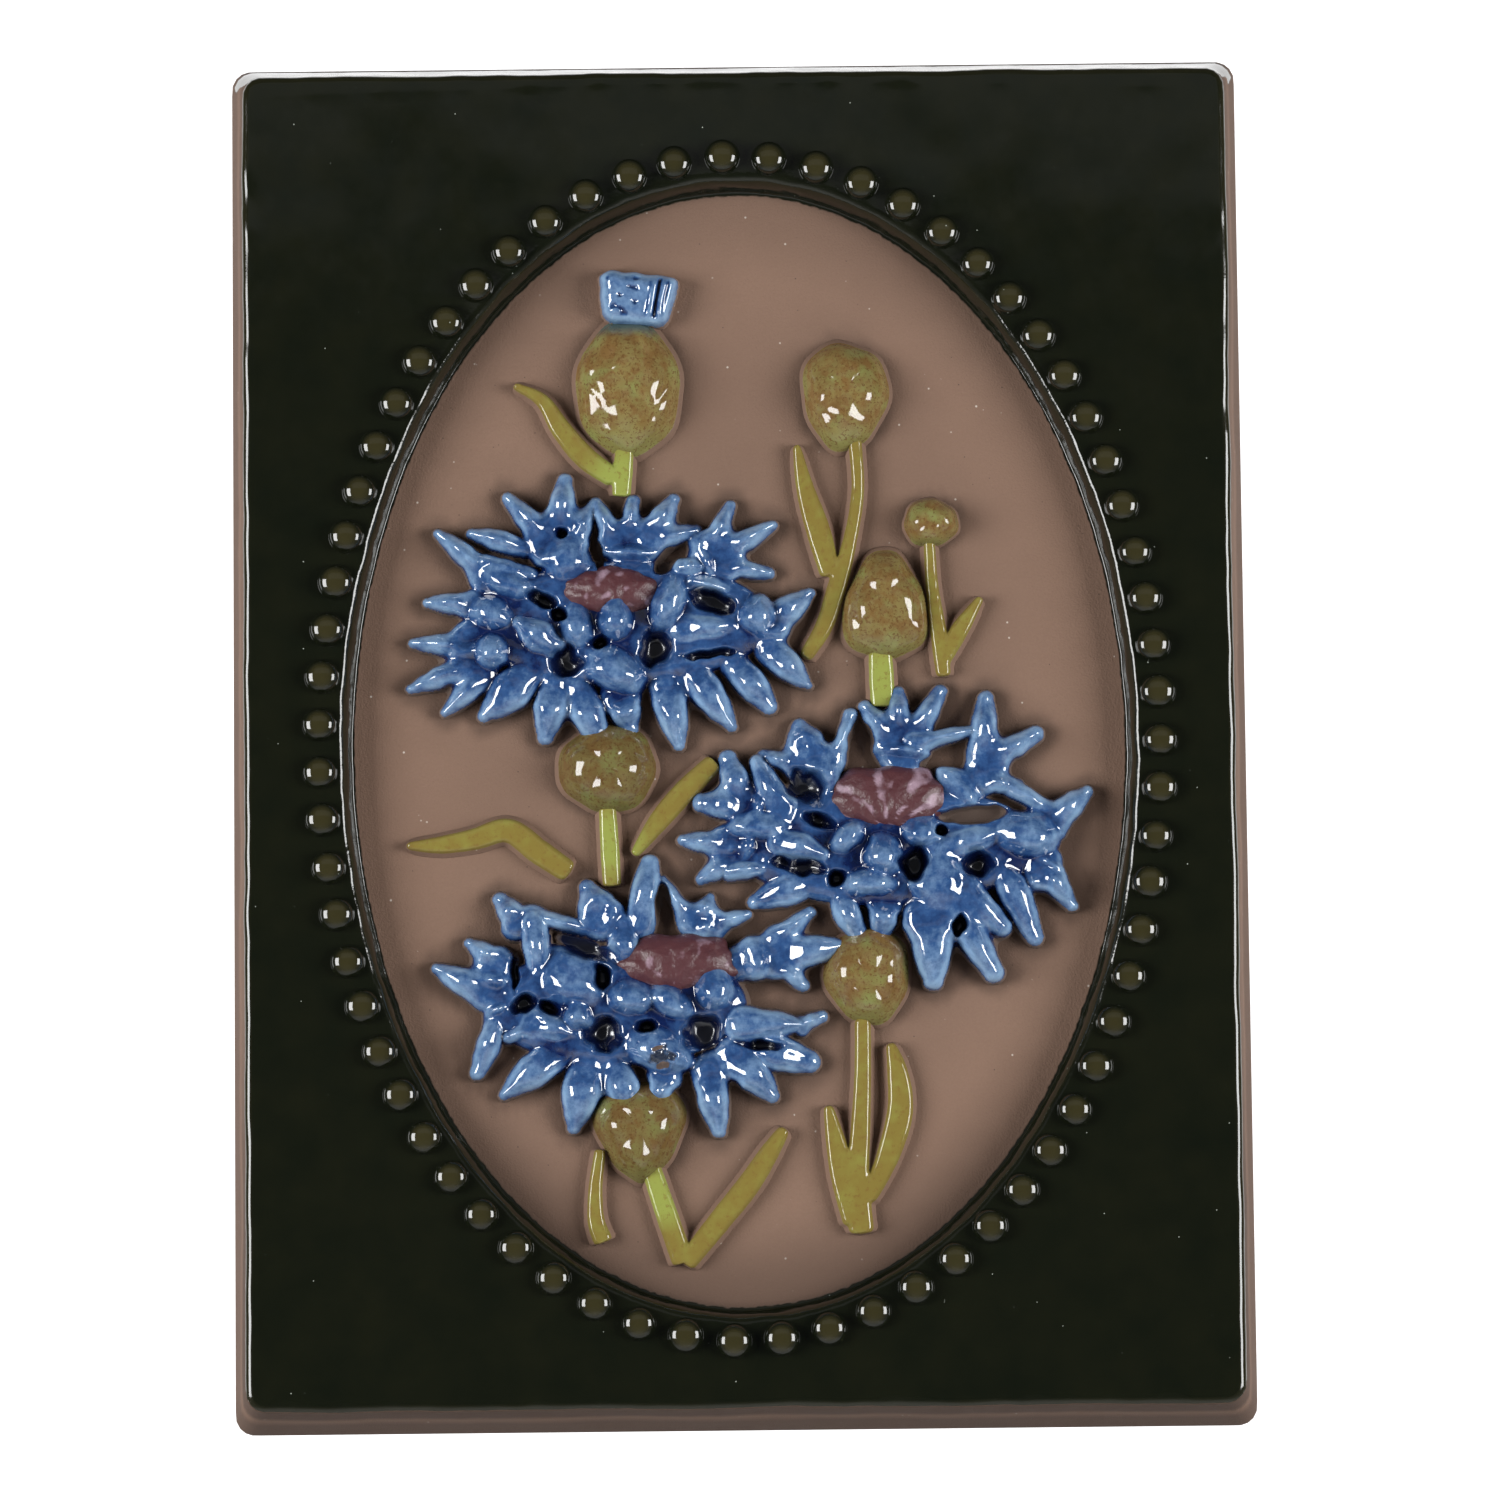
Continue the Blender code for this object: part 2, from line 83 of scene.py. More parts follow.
# Flowers, in millimetres. All places are measured from the flower's middle. The eye and the
# bed, which is the thick glaze between the florets, are x, z, half width and half height. Gaps
# bare the clay and throats are hollows painted near black as shade: x, z, half width, half
# height and turn in degrees.
# Lobes add the height of their top. A floret is its level, the half width of its tips and its
# petals: x and z of the root, x and z of the tip, half width at the root and at the belly.
# The chip is x, z, half width and half height.
FLOWERS = {
    "upper": {
        "middle": (-18.2, 22.3),
        "eye": (-0.3, -0.7, 7.9, 3.8),
        "bed": (0.8, -5.2, 22.0, 9.0),
        "gaps": ((-2.0, 4.4, 0.6, 2.2, 8), (7.9, 4.0, 1.5, 2.4, -35)),
        "lobes": (
            (-5.2, -6.2, 2.5, 3.0, 10, 6.0), (0.4, -4.9, 2.7, 3.1, 0, 6.4),
            (8.0, -3.0, 2.5, 3.7, -28, 6.6), (-17.5, -9.7, 2.5, 2.3, 0, 6.2),
            (20.9, -4.6, 2.7, 2.4, 30, 5.8), (-17.6, -4.0, 3.2, 2.1, -10, 5.3),
            (-15.0, 0.4, 4.6, 1.9, -22, 5.3), (-6.7, 3.8, 3.4, 3.0, 0, 5.4),
            (0.2, -12.6, 4.6, 2.7, -20, 6.2),
        ),
        "throats": (
            (-7.0, -10.9, 1.9, 1.9, 0), (6.4, -9.2, 2.1, 2.3, 0), (-7.6, 8.1, 0.7, 0.7, 0),
            (-7.8, -4.2, 0.9, 0.9, 0), (-1.9, -8.2, 0.9, 0.8, 0), (-10.2, -1.9, 1.6, 0.9, -25),
            (14.6, -2.4, 2.9, 1.3, -12), (13.8, -9.9, 3.3, 0.5, 8),
        ),
        "florets": (
            ("out", 0.6, (
                (-9.3, 7.0, -15.6, 13.6, 1.9, 1.4), (-7.8, 8.6, -6.9, 16.3, 2.0, 1.5),
                (-6.2, 5.8, -2.6, 12.3, 1.7, 1.3), (-8.3, 6.4, -6.8, 2.4, 3.2, 3.2),
            )),
            ("out", 0.5, ((-12.8, 5.8, -20.9, 8.2, 1.0, 1.3),)),
            ("out", 0.4, ((-18.0, 1.9, -25.6, 8.4, 1.7, 1.3), (-18.0, 1.6, -12.0, -1.0, 1.8, 1.8))),
            ("mid", 0.9, ((-18.6, 3.8, -11.2, 1.7, 0.9, 1.0),)),
            ("out", 0.4, ((-20.4, -2.4, -27.3, -1.9, 1.6, 1.3),)),
            ("out", 0.4, (
                (-20.4, -8.6, -29.4, -7.8, 1.7, 1.3), (-20.4, -11.0, -29.8, -14.6, 1.6, 1.3),
                (-18.7, -12.6, -24.8, -18.3, 1.5, 1.2), (-20.2, -7.6, -19.6, -11.2, 2.4, 2.5),
            )),
            ("out", 0.7, ((-11.7, -12.1, -19.2, -18.9, 1.7, 2.4),)),
            ("out", 0.8, (
                (-8.6, -14.0, -10.1, -22.4, 1.6, 2.0), (-5.1, -14.8, -1.5, -24.0, 1.5, 2.0),
            )),
            ("out", 1.0, ((1.0, -16.6, 2.5, -21.2, 2.3, 1.9),)),
            ("out", 0.5, (
                (7.6, -14.6, 9.5, -23.5, 1.9, 1.9), (11.0, -11.6, 17.3, -20.8, 1.6, 1.9),
            )),
            ("out", 0.9, ((17.5, -11.3, 23.1, -18.2, 1.6, 1.8),)),
            ("out", 0.4, ((22.6, -9.4, 28.5, -14.8, 1.6, 1.7), (22.6, -5.8, 28.9, -0.9, 2.0, 1.7),
                          (22.3, -5.6, 22.2, -8.6, 1.8, 1.9))),
            ("mid", 1.3, ((10.3, -6.3, 18.4, -6.0, 1.8, 1.6),)),
            ("out", 0.5, (
                (14.4, 5.6, 17.3, 12.2, 2.1, 1.2), (16.4, 5.0, 23.6, 9.0, 2.0, 1.2),
                (16.7, 2.9, 23.2, 1.8, 1.7, 1.0), (14.2, 5.4, 11.6, 7.1, 1.8, 1.4),
                (12.6, 3.4, 15.4, 4.2, 1.2, 1.8),
            )),
            ("mid", 0.7, ((10.0, 2.6, 13.6, 2.9, 1.0, 1.1),)),
            ("mid", 0.7, ((11.4, 0.7, 17.2, -0.9, 0.8, 1.1),)),
            ("out", 0.6, (
                (0.2, 6.9, -2.6, 12.8, 1.9, 1.2), (2.4, 8.4, 3.1, 13.2, 1.7, 0.8),
                (5.6, 7.6, 9.2, 13.2, 2.0, 1.4), (5.6, 6.6, 12.7, 8.3, 1.7, 1.1),
                (2.6, 3.6, 2.8, 7.0, 1.9, 2.8),
            )),
            ("front", 1.0, ((-8.4, -9.0, -14.4, -4.8, 1.3, 2.0),)),
        ),
        "chip": None,
    },
    "right": {
        "middle": (20.4, -8.2),
        "eye": (1.1, -0.7, 9.3, 4.9),
        "bed": (1.0, -7.6, 22.0, 8.8),
        "gaps": (
            (-2.9, 7.4, 1.8, 2.8, 0), (7.0, 4.4, 1.5, 0.8, 30), (13.3, -3.3, 4.9, 1.3, 5),
        ),
        "lobes": (
            (0.2, -9.5, 3.1, 2.7, 0, 6.6), (-1.9, -13.3, 4.1, 1.8, 0, 6.0),
            (5.8, -6.0, 3.0, 2.2, -8, 6.0), (-4.9, -6.8, 2.9, 1.7, 32, 6.0),
            (21.2, -6.7, 4.7, 2.9, -5, 6.2), (-17.6, -4.9, 4.7, 1.8, 0, 5.4),
            (8.2, -13.2, 3.8, 4.4, 0, 5.5),
        ),
        "throats": (
            (-11.1, 1.0, 2.6, 1.9, -30), (4.8, -10.4, 1.7, 1.9, 20), (13.9, -10.6, 1.7, 1.8, 40),
            (-9.0, -4.1, 2.0, 0.9, -20), (-11.6, -10.6, 3.2, 1.0, -8), (11.2, -19.4, 0.9, 1.3, 0),
            (8.6, -5.6, 0.8, 0.6, 0), (-6.8, -12.2, 1.1, 1.2, 0),
        ),
        "florets": (
            ("out", 0.7, (
                (-9.9, 5.2, -11.9, 10.6, 2.4, 1.5), (-10.8, 7.0, -7.2, -1.6, 2.0, 3.0),
                (-13.0, 4.4, -17.4, 5.8, 1.2, 0.9), (-6.6, 5.0, -4.0, 12.0, 0.9, 0.8),
            )),
            ("out", 1.1, (
                (-20.2, -0.6, -22.4, 6.0, 1.5, 1.7), (-20.0, -1.7, -26.8, -1.0, 1.8, 1.8),
                (-19.2, -1.4, -15.4, -3.0, 1.8, 2.0),
            )),
            ("mid", 0.8, ((-14.6, -2.4, -18.2, 5.3, 2.0, 1.6),)),
            ("out", 0.5, (
                (-22.4, -7.2, -29.2, -6.4, 1.6, 1.3), (-21.6, -9.4, -26.6, -12.4, 1.5, 1.3),
                (-22.0, -6.4, -21.6, -9.4, 1.5, 1.6), (-21.0, -7.0, -17.0, -8.4, 1.6, 1.5),
            )),
            ("mid", 0.8, ((-22.2, -11.2, -16.8, -10.7, 0.9, 1.0),)),
            ("front", 1.0, ((-14.8, -7.0, -7.9, -9.2, 1.5, 1.9),)),
            ("out", 0.8, ((-9.9, -12.4, -18.9, -15.8, 1.6, 1.9),)),
            ("out", 1.0, ((-6.6, -14.6, -2.8, -21.4, 1.0, 1.6),)),
            ("out", 1.0, ((0.4, -15.8, -0.3, -21.6, 2.3, 1.8),)),
            ("mid", 1.2, (
                (7.8, -11.6, 6.6, -17.6, 2.2, 3.3), (7.0, -18.4, 7.3, -28.2, 3.0, 2.3),
                (10.4, -16.8, 16.6, -27.0, 2.6, 1.7), (11.0, -13.4, 18.0, -20.2, 2.4, 1.7),
            )),
            ("out", 1.0, ((16.8, -9.6, 22.4, -21.8, 1.3, 1.9),)),
            ("out", 0.6, (
                (23.2, -10.4, 27.8, -16.9, 2.0, 1.5), (22.6, -12.4, 20.8, -14.4, 1.2, 0.8),
                (23.6, -10.8, 24.4, -9.2, 1.8, 1.5),
            )),
            ("mid", 1.2, ((9.4, -8.0, 18.4, -5.7, 1.6, 1.7),)),
            ("out", 0.5, ((24.6, -4.6, 30.3, 0.3, 1.9, 1.5), (17.3, 1.7, 25.4, -3.4, 1.0, 1.0))),
            ("out", 0.9, (
                (9.7, -0.8, 13.6, 3.0, 2.2, 3.2), (15.0, 5.4, 15.4, 14.3, 1.8, 1.6),
                (16.2, 4.8, 23.3, 8.8, 2.0, 1.3), (15.0, 1.8, 20.4, 0.6, 1.8, 1.2),
            )),
            ("mid", 0.5, ((4.9, 7.2, 13.5, 9.0, 1.4, 0.9),)),
            ("out", 0.7, (
                (1.4, 7.6, -2.4, 13.1, 2.0, 1.3), (2.8, 9.2, 2.7, 15.3, 1.7, 1.1),
                (5.2, 8.4, 9.1, 15.3, 1.8, 1.3), (3.3, 5.0, 3.7, 8.2, 2.2, 2.8),
            )),
        ),
        "chip": None,
    },
    "lower": {
        "middle": (-9.2, -31.0),
        "eye": (-0.1, -1.6, 9.1, 4.5),
        "bed": (-9.0, -7.6, 18.6, 8.6),
        "gaps": ((-2.2, 6.2, 1.1, 3.4, 0),),
        "lobes": (
            (-6.6, -6.9, 3.7, 2.2, 0, 6.2), (-1.0, -7.6, 3.5, 2.0, -24, 6.0),
            (5.3, -5.7, 2.9, 3.0, 0, 6.4), (-15.2, -4.6, 4.8, 3.3, -10, 5.8),
            (-14.5, -9.3, 2.1, 2.0, 0, 5.6), (-3.0, -14.5, 5.0, 2.7, -18, 6.0),
        ),
        "throats": (
            (-13.5, 0.9, 3.9, 1.5, -22), (-11.0, -11.6, 2.2, 2.1, 0), (3.5, -11.8, 2.3, 2.2, 0),
            (-23.7, -2.4, 0.5, 2.6, 0), (-18.6, -8.0, 1.4, 0.8, -35), (-5.0, -10.6, 1.6, 0.6, 0),
            (11.8, -13.6, 2.8, 0.6, -6), (-11.0, -3.6, 1.0, 1.6, 0), (-22.4, -7.4, 1.9, 1.0, 20),
        ),
        "florets": (
            ("out", 0.9, (
                (-23.3, 4.6, -26.0, 8.4, 1.9, 1.5), (-20.9, 5.6, -13.0, 3.4, 1.0, 0.9),
            )),
            ("mid", 1.4, ((-20.9, 4.4, -20.0, -3.6, 1.4, 1.6),)),
            ("out", 0.5, (
                (-26.1, -1.2, -30.5, 1.9, 1.7, 1.3), (-27.4, -5.8, -35.4, -1.8, 1.9, 1.6),
                (-26.6, -2.4, -26.8, -6.2, 1.7, 1.8),
            )),
            ("out", 0.8, ((-26.1, -9.2, -29.4, -17.7, 1.2, 1.4), (-26.3, -7.2, -25.4, -9.6, 1.4, 1.4))),
            ("mid", 0.8, (
                (-20.9, -10.0, -14.5, -12.0, 1.5, 1.7), (-21.5, -10.8, -25.2, -12.3, 1.2, 0.8),
                (-20.0, -9.8, -19.0, -8.6, 1.2, 1.0),
            )),
            ("out", 0.6, ((-17.4, -14.0, -25.7, -20.5, 1.9, 2.0),)),
            ("out", 0.8, (
                (-13.3, -15.8, -15.4, -25.7, 1.8, 2.3), (-9.4, -15.8, -6.3, -24.5, 1.4, 1.9),
            )),
            ("out", 0.7, ((-2.2, -18.2, -3.7, -22.7, 1.9, 1.4),)),
            ("out", 0.7, (
                (4.2, -17.0, 5.7, -26.5, 1.9, 1.8), (8.0, -14.8, 13.8, -21.3, 1.9, 2.0),
            )),
            ("mid", 0.6, ((9.2, -10.5, 18.4, -10.7, 1.9, 1.7),)),
            ("out", 1.3, ((9.8, -13.2, 19.8, -16.4, 1.3, 2.2),)),
            ("out", 1.4, ((-18.6, -1.2, -8.6, -2.4, 1.8, 2.0), (-8.0, 3.8, -7.6, -3.4, 1.5, 1.8))),
            ("out", 0.7, ((17.6, -10.8, 21.1, -9.3, 1.1, 0.9),)),
            ("out", 0.6, (
                (8.8, -1.6, 14.4, 0.1, 1.9, 2.6), (14.2, 1.8, 19.5, 5.8, 1.5, 1.1),
                (15.2, -0.6, 24.3, 0.8, 1.9, 1.8), (14.9, -2.2, 18.4, -5.2, 1.5, 0.9),
            )),
            ("out", 0.4, (
                (1.5, 5.0, -2.3, 10.8, 1.1, 0.8), (3.3, 4.8, 4.9, 8.2, 1.8, 1.2),
                (5.6, 4.2, 10.4, 5.5, 1.3, 0.8), (2.8, 4.3, 5.9, 2.6, 1.5, 1.3),
            )),
            ("out", 0.9, ((-5.4, 4.0, -3.8, 13.8, 1.6, 1.9),)),
            ("out", 0.9, ((-10.8, 5.2, -13.4, 10.2, 2.4, 1.7), (-11.2, 5.6, -7.8, 4.0, 2.2, 2.0))),
        ),
        "chip": (-2.5, -15.2, 2.0, 1.9),
    },
}

# The melted glaze widens the petals: factors at the root and the belly, millimetres at the tip
ROOT_SPREAD = 1.4
BELLY_SPREAD = 1.22
TIP_SPREAD = 0.25
BED_HEIGHT = 3.7

# Height over the ground of a petal's root, belly and tip at each level, in millimetres
LEVELS = {
    "out": (3.3, 4.6, 2.9),
    "mid": (4.4, 5.3, 4.2),
    "front": (5.3, 6.4, 5.2),
}

# Buds and calyxes: x, z, half width, half height, taper of the top end
BUDS = (
    (-15.8, 52.0, 7.5, 9.9, 0.16),
    (15.9, 50.1, 6.1, 7.8, -0.12),
    (28.2, 31.4, 3.9, 3.5, 0.0),
    (21.4, 19.3, 6.1, 7.9, 0.20),
    (-19.2, -4.2, 7.0, 6.4, -0.10),
    (18.2, -34.6, 6.1, 7.0, -0.10),
    (-15.0, -56.6, 6.3, 7.2, -0.25),
)

# How dark the glaze of each bud is
BUD_DEPTHS = (0.0, 0.02, 0.05, 0.08, 0.35, 0.1, 0.28)

# Stems and leaves as stations of x, z, half width
LEAVES = (
    ((-32.6, 52.3, 0.4), (-28.5, 50.1, 0.9), (-25.6, 45.7, 1.4), (-21.9, 41.3, 1.6),
     (-17.6, 38.2, 1.4)),
    ((-16.3, 43.2, 1.3), (-16.9, 35.6, 1.3)),
    ((17.2, 44.6, 0.9), (17.6, 36.0, 0.8), (16.3, 28.5, 0.9), (14.4, 22.0, 1.3),
     (12.4, 16.2, 1.2), (9.4, 11.4, 0.9)),
    ((8.7, 43.2, 0.4), (9.9, 36.8, 1.2), (11.7, 30.6, 1.7), (13.6, 23.6, 1.5)),
    ((27.9, 29.2, 0.7), (28.3, 21.8, 0.8), (29.2, 14.5, 1.1), (29.8, 8.6, 1.0)),
    ((35.4, 20.4, 0.4), (32.2, 15.6, 1.2), (29.7, 11.4, 1.2)),
    ((20.6, 12.6, 1.7), (20.9, 4.4, 1.8)),
    ((-19.3, -9.6, 1.2), (-18.7, -21.4, 1.3)),
    ((-48.7, -15.1, 0.4), (-43.6, -15.0, 1.2), (-38.6, -14.2, 1.5), (-33.9, -13.0, 1.7),
     (-29.2, -16.2, 1.8), (-24.6, -19.4, 1.6)),
    ((-15.6, -16.9, 0.5), (-11.8, -11.8, 1.4), (-8.1, -7.6, 1.6), (-3.4, -3.2, 1.4)),
    ((17.4, -40.4, 1.1), (17.3, -48.7, 1.1), (16.9, -56.7, 1.3), (16.4, -64.0, 1.6),
     (16.9, -72.2, 1.9)),
    ((12.2, -53.2, 0.5), (13.2, -58.1, 1.3), (14.3, -63.3, 1.8), (16.0, -70.6, 1.7)),
    ((21.3, -44.2, 0.5), (22.3, -48.3, 1.4), (22.7, -53.8, 1.8), (21.4, -59.1, 1.7),
     (19.8, -63.1, 1.4), (17.6, -67.2, 1.1)),
    ((-13.6, -61.6, 1.4), (-11.3, -68.6, 1.5), (-8.8, -76.0, 1.6)),
    ((-8.8, -76.2, 1.4), (-3.4, -69.6, 1.6), (0.9, -64.3, 1.6), (3.8, -59.9, 1.3),
     (6.1, -56.4, 0.7)),
    ((-20.7, -59.2, 0.7), (-21.5, -65.8, 0.9), (-21.3, -70.1, 1.2), (-20.3, -72.9, 1.4)),
)

# Where stems are thick with lime-green glaze: x, z, reach
LIME_SPOTS = ((-16.8, 38.0, 7.0), (20.8, 8.0, 7.0), (-19.0, -15.0, 7.0), (-11.5, -66.0, 6.0))

# How clearly the pale streaks of each eye fan out, and how pale they are
EYE_FANS = {"upper": (0.15, 0.9), "right": (1.0, 0.9), "lower": (0.5, 0.7)}

# Tuft over the top bud: x, z, half widths at its foot and its top, height, turn in degrees
TUFT = (-14.3, 64.7, 4.6, 5.9, 7.4, -6.0)

# The camera, which looks slightly upwards at the front
CAMERA_DISTANCE = 0.9
CAMERA_PITCH = 5.3
CAMERA_ROLL = 0.6
FRAME_SIZE = 217.0 * MM
SENSOR = 36.0

# Lamps: name, place, size, power. All of them face the origin
LAMPS = (
    ("left lamp", (-0.75, -0.5, -0.02), (0.44, 0.48), 11.0),
    ("right lamp", (0.75, -0.5, -0.02), (0.42, 0.46), 10.0),
    ("top card", (0.0, -1.3, 0.62), (1.7, 0.6), 0.6),
)

# Places worked out from the sizes above
HALF_WIDTH = (CAD_HIGH.x - CAD_LOW.x) / 2
HALF_HEIGHT = (CAD_HIGH.z - CAD_LOW.z) / 2
BORDER_Y = -THICKNESS
GROUND_Y = RECESS_DEPTH - THICKNESS
OVAL_HALF_WIDTH = HALF_WIDTH - SIDE_BORDER
OVAL_HALF_HEIGHT = HALF_HEIGHT - (TOP_BORDER + FOOT_BORDER) / 2
OVAL_CENTRE_Z = (FOOT_BORDER - TOP_BORDER) / 2
CAMERA_AIM = Vector((1.5 * MM, BORDER_Y, -2.4 * MM))

# The bouquet was drawn about a point 1.1 mm below the slab's middle; this lowers it to the oval's
RELIEF_SHIFT = OVAL_CENTRE_Z + 1.1 * MM


class PlaqueSizes(bpy.types.PropertyGroup):
    """Sizes of the modelled clay and glaze."""

    shoulder: FloatProperty(
        name="Shoulder", description="Width of a petal's rounded edge",
        default=2.2 * MM, unit="LENGTH", subtype="DISTANCE",
    )
    rim: FloatProperty(
        name="Rim", description="How far a broad petal dips inside its edge",
        default=0.15 * MM, unit="LENGTH", subtype="DISTANCE",
    )
    pitch: FloatProperty(
        name="Pitch", description="Cell of the flowers' height fields",
        default=0.18 * MM, unit="LENGTH", subtype="DISTANCE",
    )
    eye_rise: FloatProperty(
        name="Eye rise", description="Height of a flower's eye",
        default=5.4 * MM, unit="LENGTH", subtype="DISTANCE",
    )
    bud_rise: FloatProperty(
        name="Bud rise", description="Height of the buds over the ground",
        default=5.2 * MM, unit="LENGTH", subtype="DISTANCE",
    )
    leaf_rise: FloatProperty(
        name="Leaf rise", description="Height of stems and leaves over the ground",
        default=2.2 * MM, unit="LENGTH", subtype="DISTANCE",
    )
    foot_flare: FloatProperty(
        name="Foot flare", description="How far bare clay spreads at the foot of the relief",
        default=0.7 * MM, unit="LENGTH", subtype="DISTANCE",
    )
    round_steps: IntProperty(
        name="Slab steps", description="Mesh columns round the slab", default=720,
    )


class PlaqueColours(bpy.types.PropertyGroup):
    """Colours of the clay and the glazes."""

    clay: FloatVectorProperty(
        name="Clay", description="Bare stoneware", subtype="COLOR", size=4,
        default=(0.19, 0.113, 0.077, 1.0), min=0.0, max=1.0,
    )
    # Dark clay is also the colour of the painted shade on the clay
    clay_dark: FloatVectorProperty(
        name="Dark clay", description="Stoneware in its hollows", subtype="COLOR", size=4,
        default=(0.1, 0.055, 0.035, 1.0), min=0.0, max=1.0,
    )
    border: FloatVectorProperty(
        name="Border", description="Thick green glaze", subtype="COLOR", size=4,
        default=(0.0024, 0.0041, 0.0022, 1.0), min=0.0, max=1.0,
    )
    border_thin: FloatVectorProperty(
        name="Thin border", description="Green glaze where it is thin", subtype="COLOR",
        size=4, default=(0.06, 0.05, 0.018, 1.0), min=0.0, max=1.0,
    )
    blue_deep: FloatVectorProperty(
        name="Deep blue", description="Pooled blue glaze", subtype="COLOR", size=4,
        default=(0.002, 0.009, 0.055, 1.0), min=0.0, max=1.0,
    )
    blue_light: FloatVectorProperty(
        name="Light blue", description="Thin blue glaze", subtype="COLOR", size=4,
        default=(0.19, 0.31, 0.47, 1.0), min=0.0, max=1.0,
    )
    leaf: FloatVectorProperty(
        name="Leaf", description="Ochre-green glaze", subtype="COLOR", size=4,
        default=(0.185, 0.14, 0.032, 1.0), min=0.0, max=1.0,
    )
    lime: FloatVectorProperty(
        name="Lime", description="Thick green of the stems", subtype="COLOR", size=4,
        default=(0.24, 0.27, 0.06, 1.0), min=0.0, max=1.0,
    )
    rust: FloatVectorProperty(
        name="Rust", description="Rusty brown of the buds", subtype="COLOR", size=4,
        default=(0.15, 0.07, 0.022, 1.0), min=0.0, max=1.0,
    )
    eye: FloatVectorProperty(
        name="Eye", description="Matt plum", subtype="COLOR", size=4,
        default=(0.08, 0.025, 0.029, 1.0), min=0.0, max=1.0,
    )


def sizes():
    """The sizes that a user can change."""
    return bpy.context.scene.plaque_sizes


def colours():
    """The colours that a user can change."""
    return bpy.context.scene.plaque_colours


# Modelling helpers

def deselect():
    """Leave nothing selected."""
    bpy.ops.object.select_all(action="DESELECT")


def activate(item):
    """Select one object alone and make it active."""
    deselect()
    item.select_set(True)
    bpy.context.view_layer.objects.active = item


def read_points(mesh):
    """Vertex places as an array."""
    points = np.zeros(len(mesh.vertices) * 3)
    mesh.vertices.foreach_get("co", points)
    return points.reshape(-1, 3)


def write_points(mesh, points):
    """Put vertex places back."""
    mesh.vertices.foreach_set("co", np.asarray(points, np.float32).ravel())
    mesh.update()


def ball(name, segments, rings):
    """A unit sphere primitive whose poles lie along Z."""
    deselect()
    bpy.ops.mesh.primitive_uv_sphere_add(segments=segments, ring_count=rings, radius=1.0)
    item = bpy.context.active_object
    item.name = name
    item.data.name = name
    return item


def ball_places(mesh):
    """How high each vertex of a unit sphere lies, how far from its axis and at what angle."""
    unit = read_points(mesh)
    up = unit[:, 2]
    out = np.sqrt(np.maximum(1.0 - up**2, 0.0))
    return up, out, np.arctan2(unit[:, 1], unit[:, 0])


def grid(name, rows, columns):
    """A grid primitive of so many cells, and the row and column of each of its vertices."""
    deselect()
    bpy.ops.mesh.primitive_grid_add(x_subdivisions=columns, y_subdivisions=rows, size=2.0)
    item = bpy.context.active_object
    item.name = name
    item.data.name = name
    unit = read_points(item.data)
    row = np.rint((unit[:, 1] + 1.0) / 2.0 * rows).astype(int)
    column = np.rint((unit[:, 0] + 1.0) / 2.0 * columns).astype(int)
    return item, row, column


def copy_of(master, name):
    """A copy of a modelled piece with a mesh of its own."""
    item = bpy.data.objects.new(name, master.data.copy())
    bpy.context.scene.collection.objects.link(item)
    return item


def join(items, name):
    """Join objects into the first one."""
    deselect()
    for item in items:
        item.select_set(True)
    bpy.context.view_layer.objects.active = items[0]
    bpy.ops.object.join()
    items[0].name = name
    items[0].data.name = name
    return items[0]


def melt(item, voxel, smoothing):
    """Merge overlapping clay into one skin and soften it like melted glaze."""
    activate(item)
    skin = item.modifiers.new("skin", "REMESH")
    skin.mode = "VOXEL"
    skin.voxel_size = voxel
    skin.adaptivity = 0.0
    bpy.ops.object.modifier_apply(modifier=skin.name)
    soften(item, smoothing)
    return item


def soften(item, rounds):
    """Relax the active piece's mesh a little."""
    soft = item.modifiers.new("soft", "SMOOTH")
    soft.factor = 0.5
    soft.iterations = rounds
    bpy.ops.object.modifier_apply(modifier=soft.name)


def face_outwards(item):
    """Turn every face of a closed piece outwards."""
    activate(item)
    bpy.ops.object.mode_set(mode="EDIT")
    bpy.ops.mesh.select_all(action="SELECT")
    bpy.ops.mesh.normals_make_consistent(inside=False)
    bpy.ops.object.mode_set(mode="OBJECT")


def smooth_shade(item):
    """Shade a piece smooth all over."""
    activate(item)
    bpy.ops.object.shade_smooth()


def give(mesh, name, values):
    """Store one number for each vertex."""
    layer = mesh.attributes.get(name) or mesh.attributes.new(name, "FLOAT", "POINT")
    layer.data.foreach_set("value", np.asarray(values, np.float32))


def step(values, low, high):
    """Smooth rise from 0 at low to 1 at high."""
    t = np.clip((np.asarray(values, float) - low) / (high - low), 0.0, 1.0)
    return t * t * (3.0 - 2.0 * t)


def waver(points, grain, seed):
    """Smooth random values from -1 to 1 over places, alike on each run."""
    shift = Vector((seed * 3.7, seed * 1.3, seed * 7.1))
    return np.array([noise.noise(Vector(p) / grain + shift) for p in points])


def signed_power(values, power):
    """Power that keeps the sign."""
    return np.sign(values) * np.abs(values) ** power


def settle(item, look, slot_name):
    """Finish a piece: its material, its shading and its place in the frame."""
    item.data.materials.clear()
    item.data.materials.append(look)
    smooth_shade(item)
    if slot_name != "green_glaze":
        item.data.transform(Matrix.Translation((0.0, 0.0, RELIEF_SHIFT)))
    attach(item, BODY)
    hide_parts("plaque")
    return item


# Ridges: petals, leaves and stems are one ball drawn out along a line

